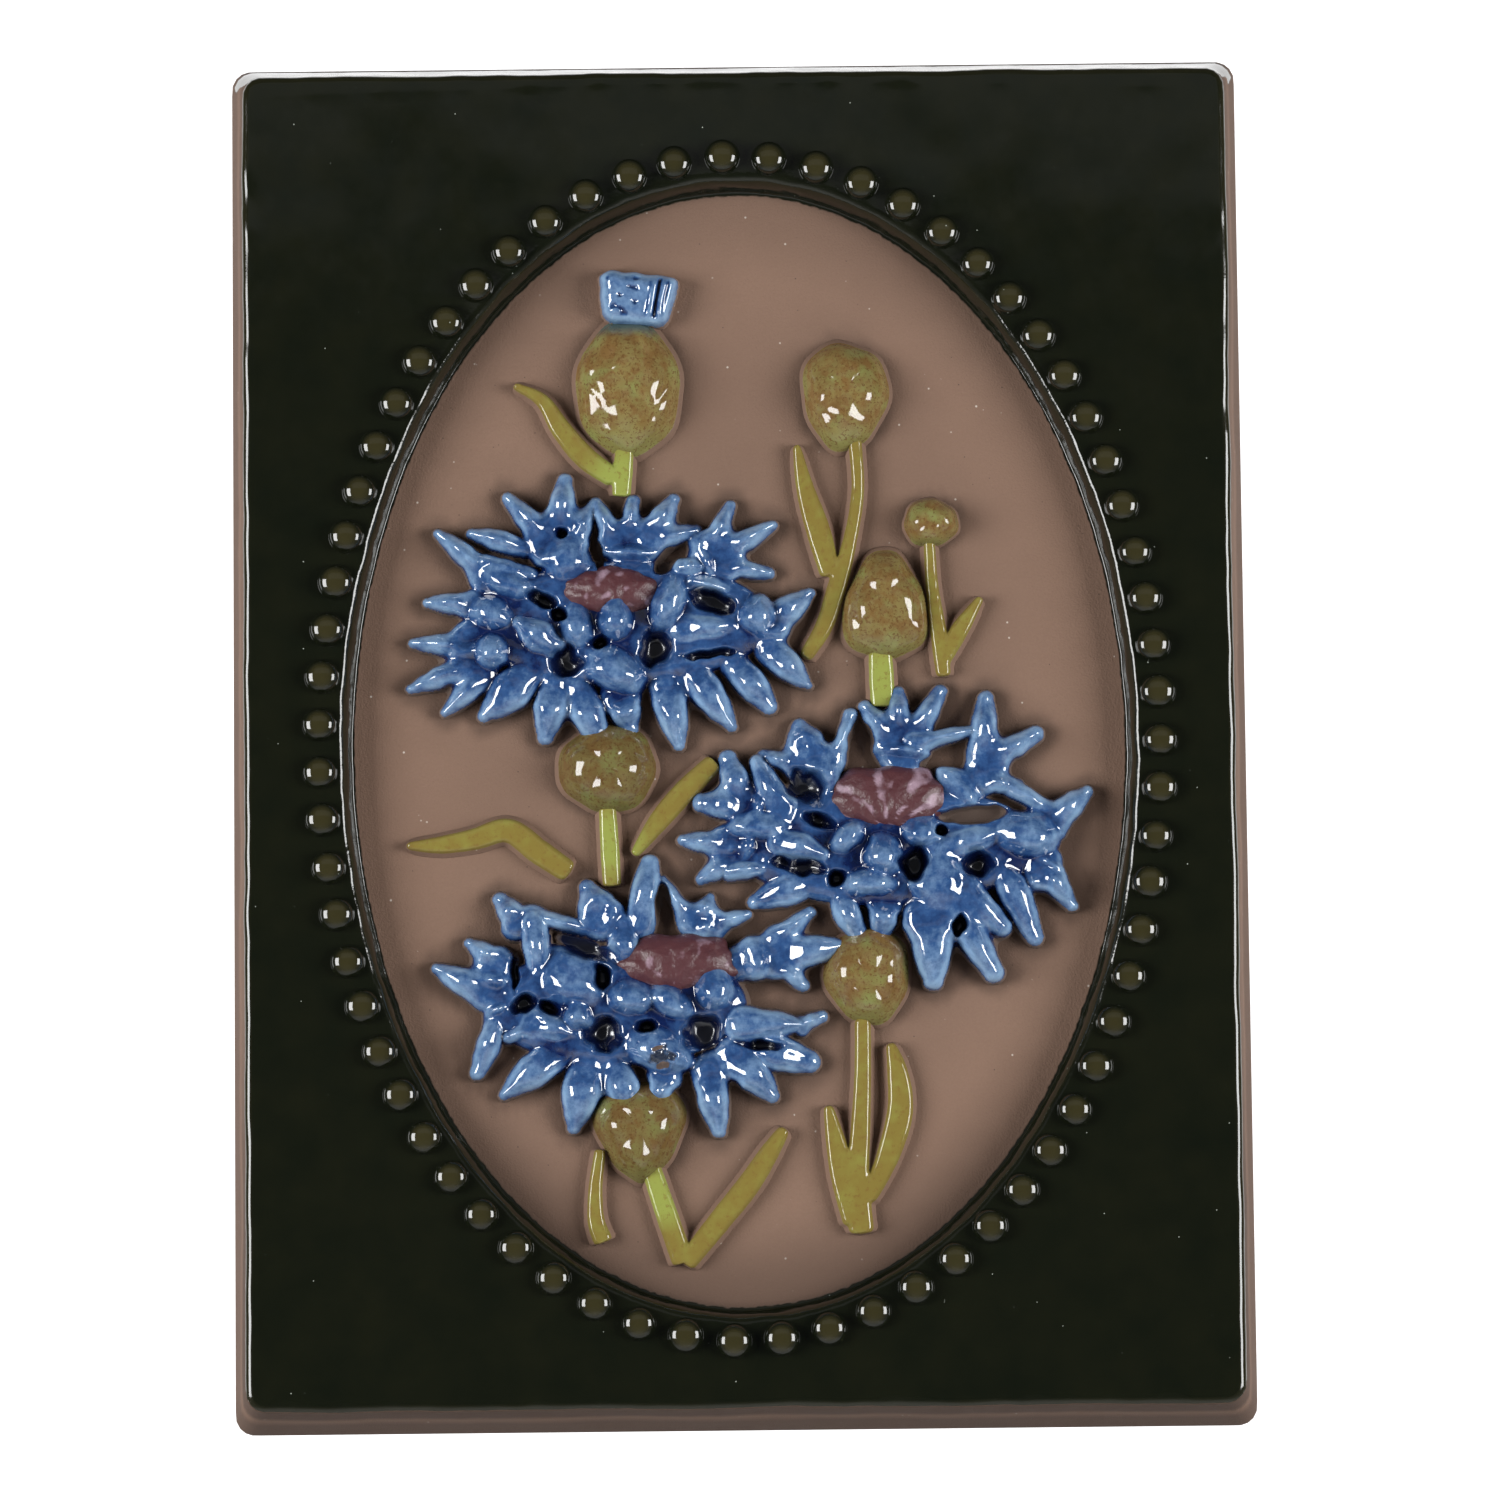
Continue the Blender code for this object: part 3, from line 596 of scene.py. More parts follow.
def ridge_points(unit, line, width, rise, crown, groove, flare):
    """Map a unit sphere onto a ridge of clay.

    line, width and rise are functions of the share of the length; crown is how square the
    section is, groove the depth of the hollow along the top.
    """
    share = np.clip((unit[:, 2] + 1.0) / 2.0, 0.0, 1.0)
    radius = np.sqrt(np.maximum(1.0 - unit[:, 2] ** 2, 1e-9))
    around = np.arctan2(unit[:, 1], unit[:, 0])
    side = np.where(radius > 1e-4, np.cos(around), 0.0)
    up = np.where(radius > 1e-4, np.sin(around), 0.0)
    half = width(share)
    height = rise(share)
    root = 1.4 * MM
    lift = np.where(up > 0, height * np.abs(up) ** crown, -root * np.abs(up) ** 0.5)
    across = signed_power(side, crown) * half
    low = np.clip(1.0 - lift / (0.5 * height + 1e-9), 0.0, 1.0)
    across += np.sign(side) * flare * low ** 2 * np.clip(half / (0.8 * MM), 0.0, 1.0)
    dip = groove * np.clip(1.0 - (side / 0.8) ** 2, 0.0, 1.0) * np.sin(math.pi * share) ** 0.7
    lift = np.where(up > 0, lift - dip, lift)
    centre, normal = line(share)
    points = centre + normal * across[:, None]
    points[:, 1] = GROUND_Y - lift
    return points


def through(stations):
    """A smooth line and width through stations."""
    places = np.array([[x * MM, z * MM, w * MM] for x, z, w in stations])
    gaps = np.linalg.norm(np.diff(places[:, :2], axis=0), axis=1)
    marks = np.concatenate([[0.0], np.cumsum(gaps)]) / gaps.sum()
    slopes = np.gradient(places, marks, axis=0)

    def at(share):
        index = np.clip(np.searchsorted(marks, share, side="right") - 1, 0, len(marks) - 2)
        span = (marks[index + 1] - marks[index])[:, None]
        t = (share[:, None] - marks[index][:, None]) / span
        a, b = places[index], places[index + 1]
        ma, mb = slopes[index] * span, slopes[index + 1] * span
        value = (
            (2 * t**3 - 3 * t**2 + 1) * a + (t**3 - 2 * t**2 + t) * ma
            + (-2 * t**3 + 3 * t**2) * b + (t**3 - t**2) * mb
        )
        return value

    def line(share):
        here = at(share)
        ahead = at(np.clip(share + 0.01, 0.0, 1.0)) - at(np.clip(share - 0.01, 0.0, 1.0))
        along = ahead[:, :2] / np.linalg.norm(ahead[:, :2], axis=1)[:, None]
        centre = np.stack([here[:, 0], np.zeros(len(here)), here[:, 1]], axis=1)
        normal = np.stack([along[:, 1], np.zeros(len(here)), -along[:, 0]], axis=1)
        return centre, normal

    def width(share):
        ends = np.clip(np.minimum(share, 1.0 - share) / 0.04, 0.0, 1.0)
        return at(share)[:, 2] * np.sqrt(1.0 - (1.0 - ends) ** 2)

    return line, width


# Materials

class Tree:
    """A short way to lay nodes in a material."""

    def __init__(self, name):
        self.look = bpy.data.materials.new(name)
        self.look.use_nodes = True
        self.nodes = self.look.node_tree.nodes
        self.links = self.look.node_tree.links
        self.shader = self.nodes["Principled BSDF"]
        self.place = self.nodes.new("ShaderNodeTexCoord").outputs["Object"]

    def put(self, socket, value):
        """Link an output to a socket, or set its value."""
        if isinstance(value, bpy.types.NodeSocket):
            self.links.new(value, socket)
        else:
            socket.default_value = value

    def noise(self, grain, detail=3.0, roughness=0.55):
        """Noise with features of about this size."""
        node = self.nodes.new("ShaderNodeTexNoise")
        self.put(node.inputs["Vector"], self.place)
        node.inputs["Scale"].default_value = 1.0 / grain
        node.inputs["Detail"].default_value = detail
        node.inputs["Roughness"].default_value = roughness
        return node.outputs["Fac"]

    def cells(self, grain, randomness=1.0):
        """Distance to the nearest of scattered points."""
        node = self.nodes.new("ShaderNodeTexVoronoi")
        self.put(node.inputs["Vector"], self.place)
        node.inputs["Scale"].default_value = 1.0 / grain
        node.inputs["Randomness"].default_value = randomness
        return node.outputs["Distance"]

    def field(self, name):
        """A number stored on the mesh."""
        node = self.nodes.new("ShaderNodeAttribute")
        node.attribute_name = name
        return node.outputs["Fac"]

    def span(self, value, low, high, to_low=0.0, to_high=1.0):
        """Map a range to another one, held at its ends."""
        node = self.nodes.new("ShaderNodeMapRange")
        self.put(node.inputs["Value"], value)
        node.inputs["From Min"].default_value = low
        node.inputs["From Max"].default_value = high
        node.inputs["To Min"].default_value = to_low
        node.inputs["To Max"].default_value = to_high
        return node.outputs["Result"]

    def math(self, operation, a, b=0.0):
        """One sum."""
        node = self.nodes.new("ShaderNodeMath")
        node.operation = operation
        self.put(node.inputs[0], a)
        self.put(node.inputs[1], b)
        return node.outputs["Value"]

    def mix(self, share, a, b):
        """Blend two colours."""
        node = self.nodes.new("ShaderNodeMix")
        node.data_type = "RGBA"
        self.put(node.inputs["Factor"], share)
        self.put(node.inputs["A"], a)
        self.put(node.inputs["B"], b)
        return node.outputs["Result"]

    def bump(self, height, distance, strength=1.0, base=None):
        """Lift the surface a little by a height."""
        node = self.nodes.new("ShaderNodeBump")
        node.inputs["Distance"].default_value = distance
        node.inputs["Strength"].default_value = strength
        self.put(node.inputs["Height"], height)
        if base is not None:
            self.put(node.inputs["Normal"], base)
        return node.outputs["Normal"]


def mixed(a, share, b):
    """A colour between two."""
    return tuple(p + (q - p) * share for p, q in zip(a, b))


def clay_colour(tree):
    """Bare stoneware: broad tone changes, fine white and dark specks, and painted shade where the
    mesh's shade field is high.
    """
    clay, dark = tuple(colours().clay), tuple(colours().clay_dark)
    broad = tree.mix(tree.noise(14 * MM, 4.0), mixed(clay, 0.28, dark), mixed(clay, -0.12, dark))
    grain = tree.span(tree.noise(0.35 * MM, 2.0), 0.35, 0.65)
    tone = tree.mix(tree.math("MULTIPLY", grain, 0.22), broad, mixed(clay, 0.6, dark))
    pale = tree.span(tree.cells(1.9 * MM), 0.1, 0.055)
    sparse = tree.span(tree.noise(3.1 * MM, 1.0), 0.58, 0.62)
    tone = tree.mix(tree.math("MULTIPLY", pale, sparse), tone, (0.5, 0.44, 0.38, 1.0))
    pits = tree.span(tree.cells(1.3 * MM), 0.1, 0.05)
    few = tree.span(tree.noise(2.3 * MM, 1.0), 0.6, 0.64)
    tone = tree.mix(tree.math("MULTIPLY", pits, few), tone, (0.05, 0.03, 0.02, 1.0))
    # Painted shade: the shade field darkens the clay towards near black
    return tree.mix(tree.field("shade"), tone, mixed(dark, 0.35, (0.01, 0.006, 0.004, 1.0)))


def glazed_look(name, paint, gloss=0.07, ripple_size=2.6 * MM, ripple_depth=0.05 * MM, ior=1.5):
    """Glaze over clay: the mesh's own numbers say where the glaze ends and how thick it is."""
    tree = Tree(name)
    edge = tree.math("ADD", tree.field("glaze"), tree.span(tree.noise(1.1 * MM), 0, 1, -0.22, 0.22))
    cover = tree.span(edge, 0.42, 0.58)
    tree.put(tree.shader.inputs["Base Color"], tree.mix(cover, clay_colour(tree), paint(tree)))
    gloss_noise = tree.span(tree.noise(2.0 * MM), 0.3, 0.7, gloss * 0.7, gloss * 1.5)
    rough = tree.nodes.new("ShaderNodeMix")
    rough.data_type = "FLOAT"
    tree.put(rough.inputs["Factor"], cover)
    rough.inputs["A"].default_value = 0.86
    dull = tree.math("MULTIPLY", tree.field("throat"), 0.22)
    tree.put(rough.inputs["B"], tree.math("ADD", gloss_noise, dull))
    tree.put(tree.shader.inputs["Roughness"], rough.outputs["Result"])
    sand = tree.math("MULTIPLY", tree.noise(0.28 * MM, 3.0), tree.math("SUBTRACT", 1.0, cover))
    ripple = tree.math("MULTIPLY", tree.noise(ripple_size, 1.0), cover)
    level = tree.bump(ripple, ripple_depth)
    worn = tree.math("MULTIPLY", tree.noise(1.1 * MM, 3.0, 0.6), tree.field("worn"))
    level = tree.bump(worn, 0.16 * MM, 1.0, level)
    tree.put(tree.shader.inputs["Normal"], tree.bump(sand, 0.10 * MM, 1.0, level))
    tree.shader.inputs["IOR"].default_value = ior
    return tree.look


def border_paint(tree):
    """Black-green glaze that turns olive brown where it is thin."""
    deep, thin = tuple(colours().border), tuple(colours().border_thin)
    cloud = tree.mix(tree.noise(7 * MM, 4.0), deep, mixed(deep, 0.1, thin))
    tone = tree.mix(tree.field("thin"), cloud, thin)
    dots = tree.span(tree.cells(2.2 * MM), 0.045, 0.03)
    few = tree.span(tree.noise(5 * MM, 1.0), 0.56, 0.6)
    return tree.mix(tree.math("MULTIPLY", dots, few), tone, (0.35, 0.38, 0.33, 1.0))


def blue_paint(tree):
    """Cobalt glaze, finely speckled: light on edges and ridges and dark where it pooled, as thin
    and thick glaze and also as painted light and shade.
    """
    deep, light = tuple(colours().blue_deep), tuple(colours().blue_light)
    thin = tree.field("thin")
    mottle = tree.span(tree.noise(1.3 * MM, 5.0, 0.65), 0.3, 0.7, -0.16, 0.16)
    level = tree.math("ADD", thin, mottle)
    middle = (0.024, 0.07, 0.19, 1.0)
    low = tree.mix(tree.span(level, 0.05, 0.45), deep, middle)
    tone = tree.mix(tree.span(level, 0.45, 0.95), low, light)
    specks = tree.span(tree.cells(0.5 * MM), 0.2, 0.1)
    dark = tree.math("MULTIPLY", specks, 0.3)
    tone = tree.mix(dark, tone, (0.008, 0.025, 0.12, 1.0))
    # Painted shade: the throats and deep crevices go near black
    return tree.mix(tree.field("throat"), tone, (0.0015, 0.002, 0.008, 1.0))


def green_paint(tree):
    """Ochre-green glaze of stems and leaves, limier where it is thick."""
    leaf, lime, rust = tuple(colours().leaf), tuple(colours().lime), tuple(colours().rust)
    tone = tree.mix(tree.span(tree.noise(2.6 * MM, 3.0), 0.45, 0.7), leaf, mixed(leaf, 0.3, lime))
    tone = tree.mix(tree.field("lime"), tone, lime)
    spots = tree.span(tree.noise(0.7 * MM, 3.0, 0.7), 0.56, 0.66)
    return tree.mix(tree.math("MULTIPLY", spots, 0.5), tone, mixed(rust, 0.2, leaf))


def bud_paint(tree):
    """Olive and rusty brown mottle of the buds, green towards the stem."""
    leaf, lime, rust = tuple(colours().leaf), tuple(colours().lime), tuple(colours().rust)
    olive = mixed(leaf, 0.5, (0.19, 0.15, 0.07, 1.0))
    brown = mixed(rust, 0.3, olive)
    tone = tree.mix(tree.span(tree.noise(2.4 * MM, 5.0, 0.75), 0.42, 0.58), olive, brown)
    green = mixed(olive, 0.6, mixed(lime, 0.4, (0.1, 0.19, 0.09, 1.0)))
    tone = tree.mix(tree.span(tree.noise(4.2 * MM, 3.0), 0.54, 0.7, 0.0, 0.85), tone, green)
    tone = tree.mix(tree.field("lime"), tone, green)
    dots = tree.span(tree.noise(0.45 * MM, 2.0, 0.7), 0.55, 0.63)
    tone = tree.mix(tree.math("MULTIPLY", dots, 0.8), tone, mixed(rust, 0.3, (0.03, 0.015, 0.008, 1.0)))
    tone = tree.mix(tree.field("deep"), tone, (0.03, 0.022, 0.008, 1.0))
    return tree.mix(tree.field("stain"), tone, (0.03, 0.09, 0.1, 1.0))


def eye_look():
    """Matt plum with lilac-white streaks."""
    tree = Tree("plum slip")
    plum = tuple(colours().eye)
    tone = tree.mix(tree.noise(1.4 * MM, 4.0), mixed(plum, 0.35, (0.03, 0.01, 0.012, 1.0)), plum)
    speckle = tree.span(tree.noise(0.8 * MM, 4.0, 0.7), 0, 1, -0.4, 0.4)
    streak = tree.math("ADD", tree.field("streak"), speckle)
    tone = tree.mix(tree.span(streak, 0.3, 0.95, 0.0, 0.85), tone, (0.36, 0.25, 0.31, 1.0))
    tree.put(tree.shader.inputs["Base Color"], tone)
    tree.shader.inputs["Roughness"].default_value = 0.42
    tree.shader.inputs["IOR"].default_value = 1.48
    tree.put(tree.shader.inputs["Normal"], tree.bump(tree.noise(0.5 * MM, 3.0), 0.12 * MM))
    return tree.look


# Slab

def rounded_rectangle(half_width, half_height, radius, angle):
    """Point of a rounded rectangle in a direction given by the oval's own angle."""
    direction = np.stack([
        OVAL_HALF_WIDTH * np.cos(angle), OVAL_HALF_HEIGHT * np.sin(angle)
    ], axis=1)
    direction /= np.linalg.norm(direction, axis=1)[:, None]
    low = np.zeros(len(angle))
    high = np.full(len(angle), 2.0 * max(half_width, half_height))
    for _ in range(40):
        reach = (low + high) / 2
        point = np.abs(direction * reach[:, None])
        corner = np.maximum(point - np.array([half_width - radius, half_height - radius]), 0.0)
        outside = np.linalg.norm(corner, axis=1) > radius
        high = np.where(outside, reach, high)
        low = np.where(outside, low, reach)
    return direction * ((low + high) / 2)[:, None]


def oval(margin, angle):
    """Point of the window's outline at a margin outside the clay's edge."""
    return np.stack([
        (OVAL_HALF_WIDTH + margin) * np.cos(angle),
        OVAL_CENTRE_Z + (OVAL_HALF_HEIGHT + margin) * np.sin(angle),
    ], axis=1)


def slab_rows(angle):
    """Rows of points from the middle of the ground, over the border, to the middle of the back."""
    rows = []

    def add(points, depth, glaze, thin):
        rows.append((points, np.full(len(angle), depth), glaze, thin))

    centre = np.array([0.0, OVAL_CENTRE_Z])
    for share in np.linspace(0.0, 0.985, 44) ** 0.9:
        add(centre + (oval(0.0, angle) - centre) * share, GROUND_Y, 0.0, 0.0)
    # Shares of the lip's width and of the depth, how surely glazed, how thin
    wall = (
        (0.0, 0.0, 0.7, 0.0), (0.08, 0.02, 1, 0.0), (0.16, 0.1, 1, 0.0), (0.2, 0.22, 1, 0.02),
        (0.24, 0.36, 1, 0.02), (0.28, 0.5, 1, 0.02), (0.33, 0.64, 1, 0.05), (0.4, 0.78, 1, 0.08),
        (0.5, 0.88, 1, 0.08), (0.62, 0.945, 1, 0.04), (0.76, 0.98, 1, 0.0), (0.9, 0.995, 1, 0.0),
        (1.05, 1.0, 1, 0.0),
    )
    for out, up, glaze, thin in wall:
        add(oval(out * LIP_WIDTH, angle), GROUND_Y - up * RECESS_DEPTH, glaze, thin)
    front_half_width = HALF_WIDTH - SIDE_DRAFT
    front_half_height = HALF_HEIGHT - END_DRAFT
    inner = oval(1.2 * LIP_WIDTH, angle)
    outer = rounded_rectangle(
        front_half_width - EDGE_ROUND, front_half_height - EDGE_ROUND,
        CORNER_RADIUS - EDGE_ROUND, angle,
    )
    for share in np.linspace(0.0, 1.0, 20):
        add(inner + (outer - inner) * share, BORDER_Y, 1.0, 0.0)
    for turn in np.linspace(0.0, math.pi / 2, 7)[1:]:
        inset = EDGE_ROUND * (1.0 - math.sin(turn))
        ring = rounded_rectangle(
            front_half_width - inset, front_half_height - inset, CORNER_RADIUS - inset, angle,
        )
        add(ring, BORDER_Y + EDGE_ROUND * (1.0 - math.cos(turn)), 1.3 - 0.5 * turn, 0.2 * turn)
    for share in (0.04, 0.1, 0.2, 0.35, 0.55, 0.75, 0.9, 0.96, 1.0):
        ring = rounded_rectangle(
            front_half_width + SIDE_DRAFT * share, front_half_height + END_DRAFT * share,
            CORNER_RADIUS, angle,
        )
        depth = BORDER_Y + EDGE_ROUND + (THICKNESS - EDGE_ROUND) * share
        add(ring, depth, 0.3 - 3 * share, 0.3)
    back = rounded_rectangle(HALF_WIDTH, HALF_HEIGHT, CORNER_RADIUS, angle)
    for share in np.linspace(1.0, 0.0, 14)[1:]:
        add(back * share, 0.0, 0.0, 0.0)
    return rows


def make_slab():
    """The slab with its window, shaped from one grid that is wrapped round it."""
    columns = sizes().round_steps
    angle = np.arange(columns + 1) * 2 * math.pi / columns
    rows = slab_rows(angle)
    item, row, column = grid("slab", len(rows) - 1, columns)
    flat = np.array([r[0] for r in rows])
    depth = np.array([r[1] for r in rows])
    points = np.zeros((len(row), 3))
    points[:, [0, 2]] = flat[row, column]
    points[:, 1] = depth[row, column]
    glaze = np.array([r[2] for r in rows])[row]
    thin = np.array([r[3] for r in rows])[row]
    crown = step(points[:, 2], HALF_HEIGHT - 4.5 * MM, HALF_HEIGHT - 3.4 * MM)
    glaze = np.maximum(glaze, crown * step(-points[:, 1], 1.5 * MM, 4.0 * MM))
    foot = step(-points[:, 2], HALF_HEIGHT - 6.0 * MM, HALF_HEIGHT - 4.6 * MM)
    rounded = step(points[:, 1], BORDER_Y + 0.25 * MM, BORDER_Y + 0.6 * MM)
    glaze = np.where(points[:, 1] < -0.5 * THICKNESS, glaze * (1.0 - foot * rounded), glaze)
    write_points(item.data, points)
    give(item.data, "glaze", glaze)
    give(item.data, "thin", thin)
    activate(item)
    bpy.ops.object.mode_set(mode="EDIT")
    bpy.ops.mesh.select_all(action="SELECT")
    bpy.ops.mesh.remove_doubles(threshold=0.002 * MM)
    bpy.ops.object.mode_set(mode="OBJECT")
    face_outwards(item)
    cut_pocket(item)
    wear_slab(item.data)
    return item


def cut_pocket(item):
    """The pocket for a nail head in the back."""
    deselect()
    bpy.ops.mesh.primitive_cube_add(size=1.0)
    cutter = bpy.context.active_object
    corner = Vector((POCKET_WIDTH, 2 * POCKET_DEPTH, POCKET_HEIGHT))
    middle = Vector((0.0, 0.0, HALF_HEIGHT - POCKET_TOP_WALL - POCKET_HEIGHT / 2))
    cutter.data.transform(Matrix.Translation(middle) @ Matrix.Diagonal((*corner, 1.0)))
    activate(item)
    cut = item.modifiers.new("pocket", "BOOLEAN")
    cut.operation = "DIFFERENCE"
    cut.object = cutter
    bpy.ops.object.modifier_apply(modifier=cut.name)
    bpy.data.objects.remove(cutter, do_unlink=True)


def wear_slab(mesh):
    """Uneven pressing of the slab: a wavering edge, a chipped lip and a front that swells."""
    points = read_points(mesh)
    side = np.maximum(
        np.abs(points[:, 0]) / HALF_WIDTH, np.abs(points[:, 2]) / HALF_HEIGHT
    )
    near_edge = step(side, 0.9, 0.99) * step(-points[:, 1], 1.0 * MM, 6.0 * MM)
    wobble = waver(points, 13 * MM, 3) * 0.34 * MM + waver(points, 3.4 * MM, 5) * 0.12 * MM
    away = points[:, [0, 2]] / np.maximum(np.linalg.norm(points[:, [0, 2]], axis=1), 1e-6)[:, None]
    points[:, [0, 2]] += away * (wobble * near_edge)[:, None]
    reach = np.hypot(
        points[:, 0] / (OVAL_HALF_WIDTH + 0.5 * MM),
        (points[:, 2] - OVAL_CENTRE_Z) / (OVAL_HALF_HEIGHT + 0.5 * MM),
    )
    lip = step(1.0 - np.abs(reach - 1.0) * OVAL_HALF_WIDTH / LIP_WIDTH, 0.0, 0.7)
    lip *= step(-points[:, 1], 7.5 * MM, 8.5 * MM)
    chips = waver(points, 4.3 * MM, 14) * 0.2 * MM + waver(points, 1.5 * MM, 15) * 0.07 * MM
    points[:, [0, 2]] += away * (chips * lip)[:, None]
    points[:, 1] += lip * waver(points, 3.1 * MM, 16) * 0.1 * MM
    front = step(-points[:, 1], 7.5 * MM, 8.0 * MM)
    swell = waver(points, 26 * MM, 8) * 0.14 * MM + waver(points, 8 * MM, 9) * 0.045 * MM
    points[:, 1] += swell * front
    points[:, 1] += step(side, 0.94, 0.975) * front * waver(points, 4.4 * MM, 27) * 0.24 * MM
    write_points(mesh, points)
    rim = step(side, 0.955, 0.975) * step(-points[:, 1], 8 * MM, 11 * MM)
    give(mesh, "worn", np.maximum(0.35 * lip, 0.4 * rim))
    shade_clay(mesh, reach, front)


def shade_clay(mesh, reach, front):
    """Painted shade on the clay close to the bouquet and the buds, partly stain, and on the side walls.

    It is also darker towards the window's ends and at the foot of the window's wall, and it is
    painted lighter near the window's edge, where the border casts its shadow.
    """
    points = read_points(mesh)
    near = np.full(len(points), -9.0)
    ground = np.flatnonzero((points[:, 1] < -7.0 * MM) & (points[:, 1] > -9.0 * MM))
    x, z = points[ground, 0] / MM, (points[ground, 2] - RELIEF_SHIFT) / MM
    for name, shape in FLOWERS.items():
        middle_x, middle_z = shape["middle"]
        cover = flower_fields(name, x - middle_x, z - middle_z)["cover"]
        near[ground] = np.maximum(near[ground], cover)
    for bud_x, bud_z, half_width, half_height, _ in BUDS:
        far = np.hypot((x - bud_x) / half_width, (z - bud_z) / half_height)
        near[ground] = np.maximum(near[ground], (1.0 - far) * half_width - 0.8)
    near += waver(points, 2.2 * MM, 18) * 0.5
    cloud = step(waver(points, 15 * MM, 23) + 0.5 * waver(points, 6 * MM, 24), -0.2, 0.6)
    # Painted light: the clay is darkened a little away from the window's edge, so that the edge, where
    # the border casts its shadow, comes out lighter. The patchy darkening some way from the bouquet is
    # stain and painted shade.
    shade = 0.2 * (1.0 - step(reach, 0.6, 0.9)) * front + 0.1 * cloud * step(near, -7.0, -2.5)
    # Painted shade, with some stain, in the clay right round the bouquet and the buds
    shade += 0.7 * step(near, -2.9, -0.5)
    # Darker towards the foot and the top of the window
    ends = 0.72 * step(-points[:, 2], 35 * MM, 78 * MM) + 0.34 * step(points[:, 2], 30 * MM, 70 * MM)
    # Darker near the window's edge, and painted shade at the foot of its wall
    shore = step(reach, 0.8, 0.97) * (0.03 + ends) + 0.35 * step(reach, 0.975, 0.995)
    shore *= front
    shade = np.maximum(shade, shore)
    # Painted shade on the side walls, deeper on the bottom one
    side_wall = (points[:, 1] < -0.2 * MM) & (points[:, 1] > -7.0 * MM)
    wall_shade = 0.7 + 0.15 * (points[:, 2] < 5 * MM - HALF_HEIGHT)
    give(mesh, "shade", np.where(side_wall, wall_shade, shade))


# Beads

def bead_line():
    """Places at equal steps along the beads' oval."""
    margin = LIP_WIDTH + BEAD_DIAMETER / 2 - 0.15 * MM
    angle = np.linspace(0.0, 2 * math.pi, 4001)
    line = oval(margin, angle)
    walk = np.concatenate([[0.0], np.cumsum(np.linalg.norm(np.diff(line, axis=0), axis=1))])
    count = round(walk[-1] / BEAD_PITCH)
    marks = np.arange(count) * walk[-1] / count
    return np.stack([np.interp(marks, walk, line[:, 0]), np.interp(marks, walk, line[:, 1])], 1)


def make_beads():
    """The string of beads, each a full drop with a foot of pooled glaze."""
    master = ball("bead", 26, 30)
    up, out, around = ball_places(master.data)
    radius = BEAD_DIAMETER / 2 * 0.97
    lift = np.where(up > 0, BEAD_RISE * np.abs(up) ** 0.55, 0.3 * MM * up)
    foot = np.clip(1.0 - lift / (0.6 * MM), 0.0, 1.1) ** 3 * 0.14 * MM
    spread = np.maximum(out, 0.999 * (up < 0)) * radius + foot
    spread = np.where(out < 1e-4, 0.0, spread)
    shape = np.stack([spread * np.cos(around), -lift, spread * np.sin(around)], axis=1)
    items = []
    noise.seed_set(BEAD_SEED)
    for number, (x, z) in enumerate(bead_line()):
        item = copy_of(master, f"bead {number}")
        jitter = noise.noise_vector(Vector((number * 1.7, 2.0, 5.0)))
        scale = 1.0 + 0.04 * jitter.x
        points = shape * np.array([scale, 1.0 + 0.05 * jitter.y, scale * (1.0 + 0.03 * jitter.z)])
        points += np.array([x + 0.15 * MM * jitter.y, BORDER_Y, z + 0.15 * MM * jitter.x])
        write_points(item.data, points)
        items.append(item)
    bpy.data.objects.remove(master, do_unlink=True)
    item = join(items, "beads")
    rise = BORDER_Y - read_points(item.data)[:, 1]
    give(item.data, "glaze", np.ones(len(rise)))
    give(item.data, "thin", 0.42 * step(rise, 1.5 * MM, 2.2 * MM))
    give(item.data, "shade", np.zeros(len(rise)))
    face_outwards(item)
    return item


# Flowers

def petal_field(x, z, row, tip, heights):
    """How far each place lies inside one petal, and how high the petal is there."""
    x0, z0, x1, z1, root, belly = row
    dx, dz = x1 - x0, z1 - z0
    keep = 1.0 - min(0.8 * tip / math.hypot(dx, dz), 0.3)
    dx, dz = dx * keep, dz * keep
    share = np.clip(((x - x0) * dx + (z - z0) * dz) / max(dx * dx + dz * dz, 1e-6), 0.0, 1.0)
    off = np.hypot(x - x0 - share * dx, z - z0 - share * dz)
    root, belly, tip = root * ROOT_SPREAD, belly * BELLY_SPREAD, tip + TIP_SPREAD
    early = root + (belly - root) * step(share, 0.0, 0.42)
    late = tip + (belly - tip) * (1.0 - np.clip((share - 0.42) / 0.58, 0.0, 1.0) ** 1.6)
    half = np.where(share < 0.42, early, late)
    low, high, end = heights
    top = low + (high - low) * step(share, 0.0, 0.45) - (high - end) * step(share, 0.5, 1.0)
    return half - off, top


def soft_max(a, b, reach):
    """The greater of two fields with a rounded seam, and the share of the second one."""
    share = np.clip(0.5 + 0.5 * (b - a) / reach, 0.0, 1.0)
    return a + (b - a) * share + reach * share * (1.0 - share), share


def pillow(inside, top):
    """Height over the ground of a rounded plate of clay, with a thin skirt round its foot."""
    foot = 0.56 * top
    shoulder, rim, skirt = sizes().shoulder / MM, sizes().rim / MM, sizes().foot_flare / MM
    rise = np.clip(inside / shoulder, 0.0, 1.0)
    body = foot + (top - foot) * (1.0 - (1.0 - rise) ** 1.9) ** 0.8
    body -= rim * step(inside, 1.2, 2.4)
    out = np.clip(-inside / skirt, 0.0, 1.0)
    fall = np.where(out < 1.0, foot * (1.0 - out) ** 2.2 - 0.6 * out, -9.0)
    return np.where(inside > 0.0, body, fall)


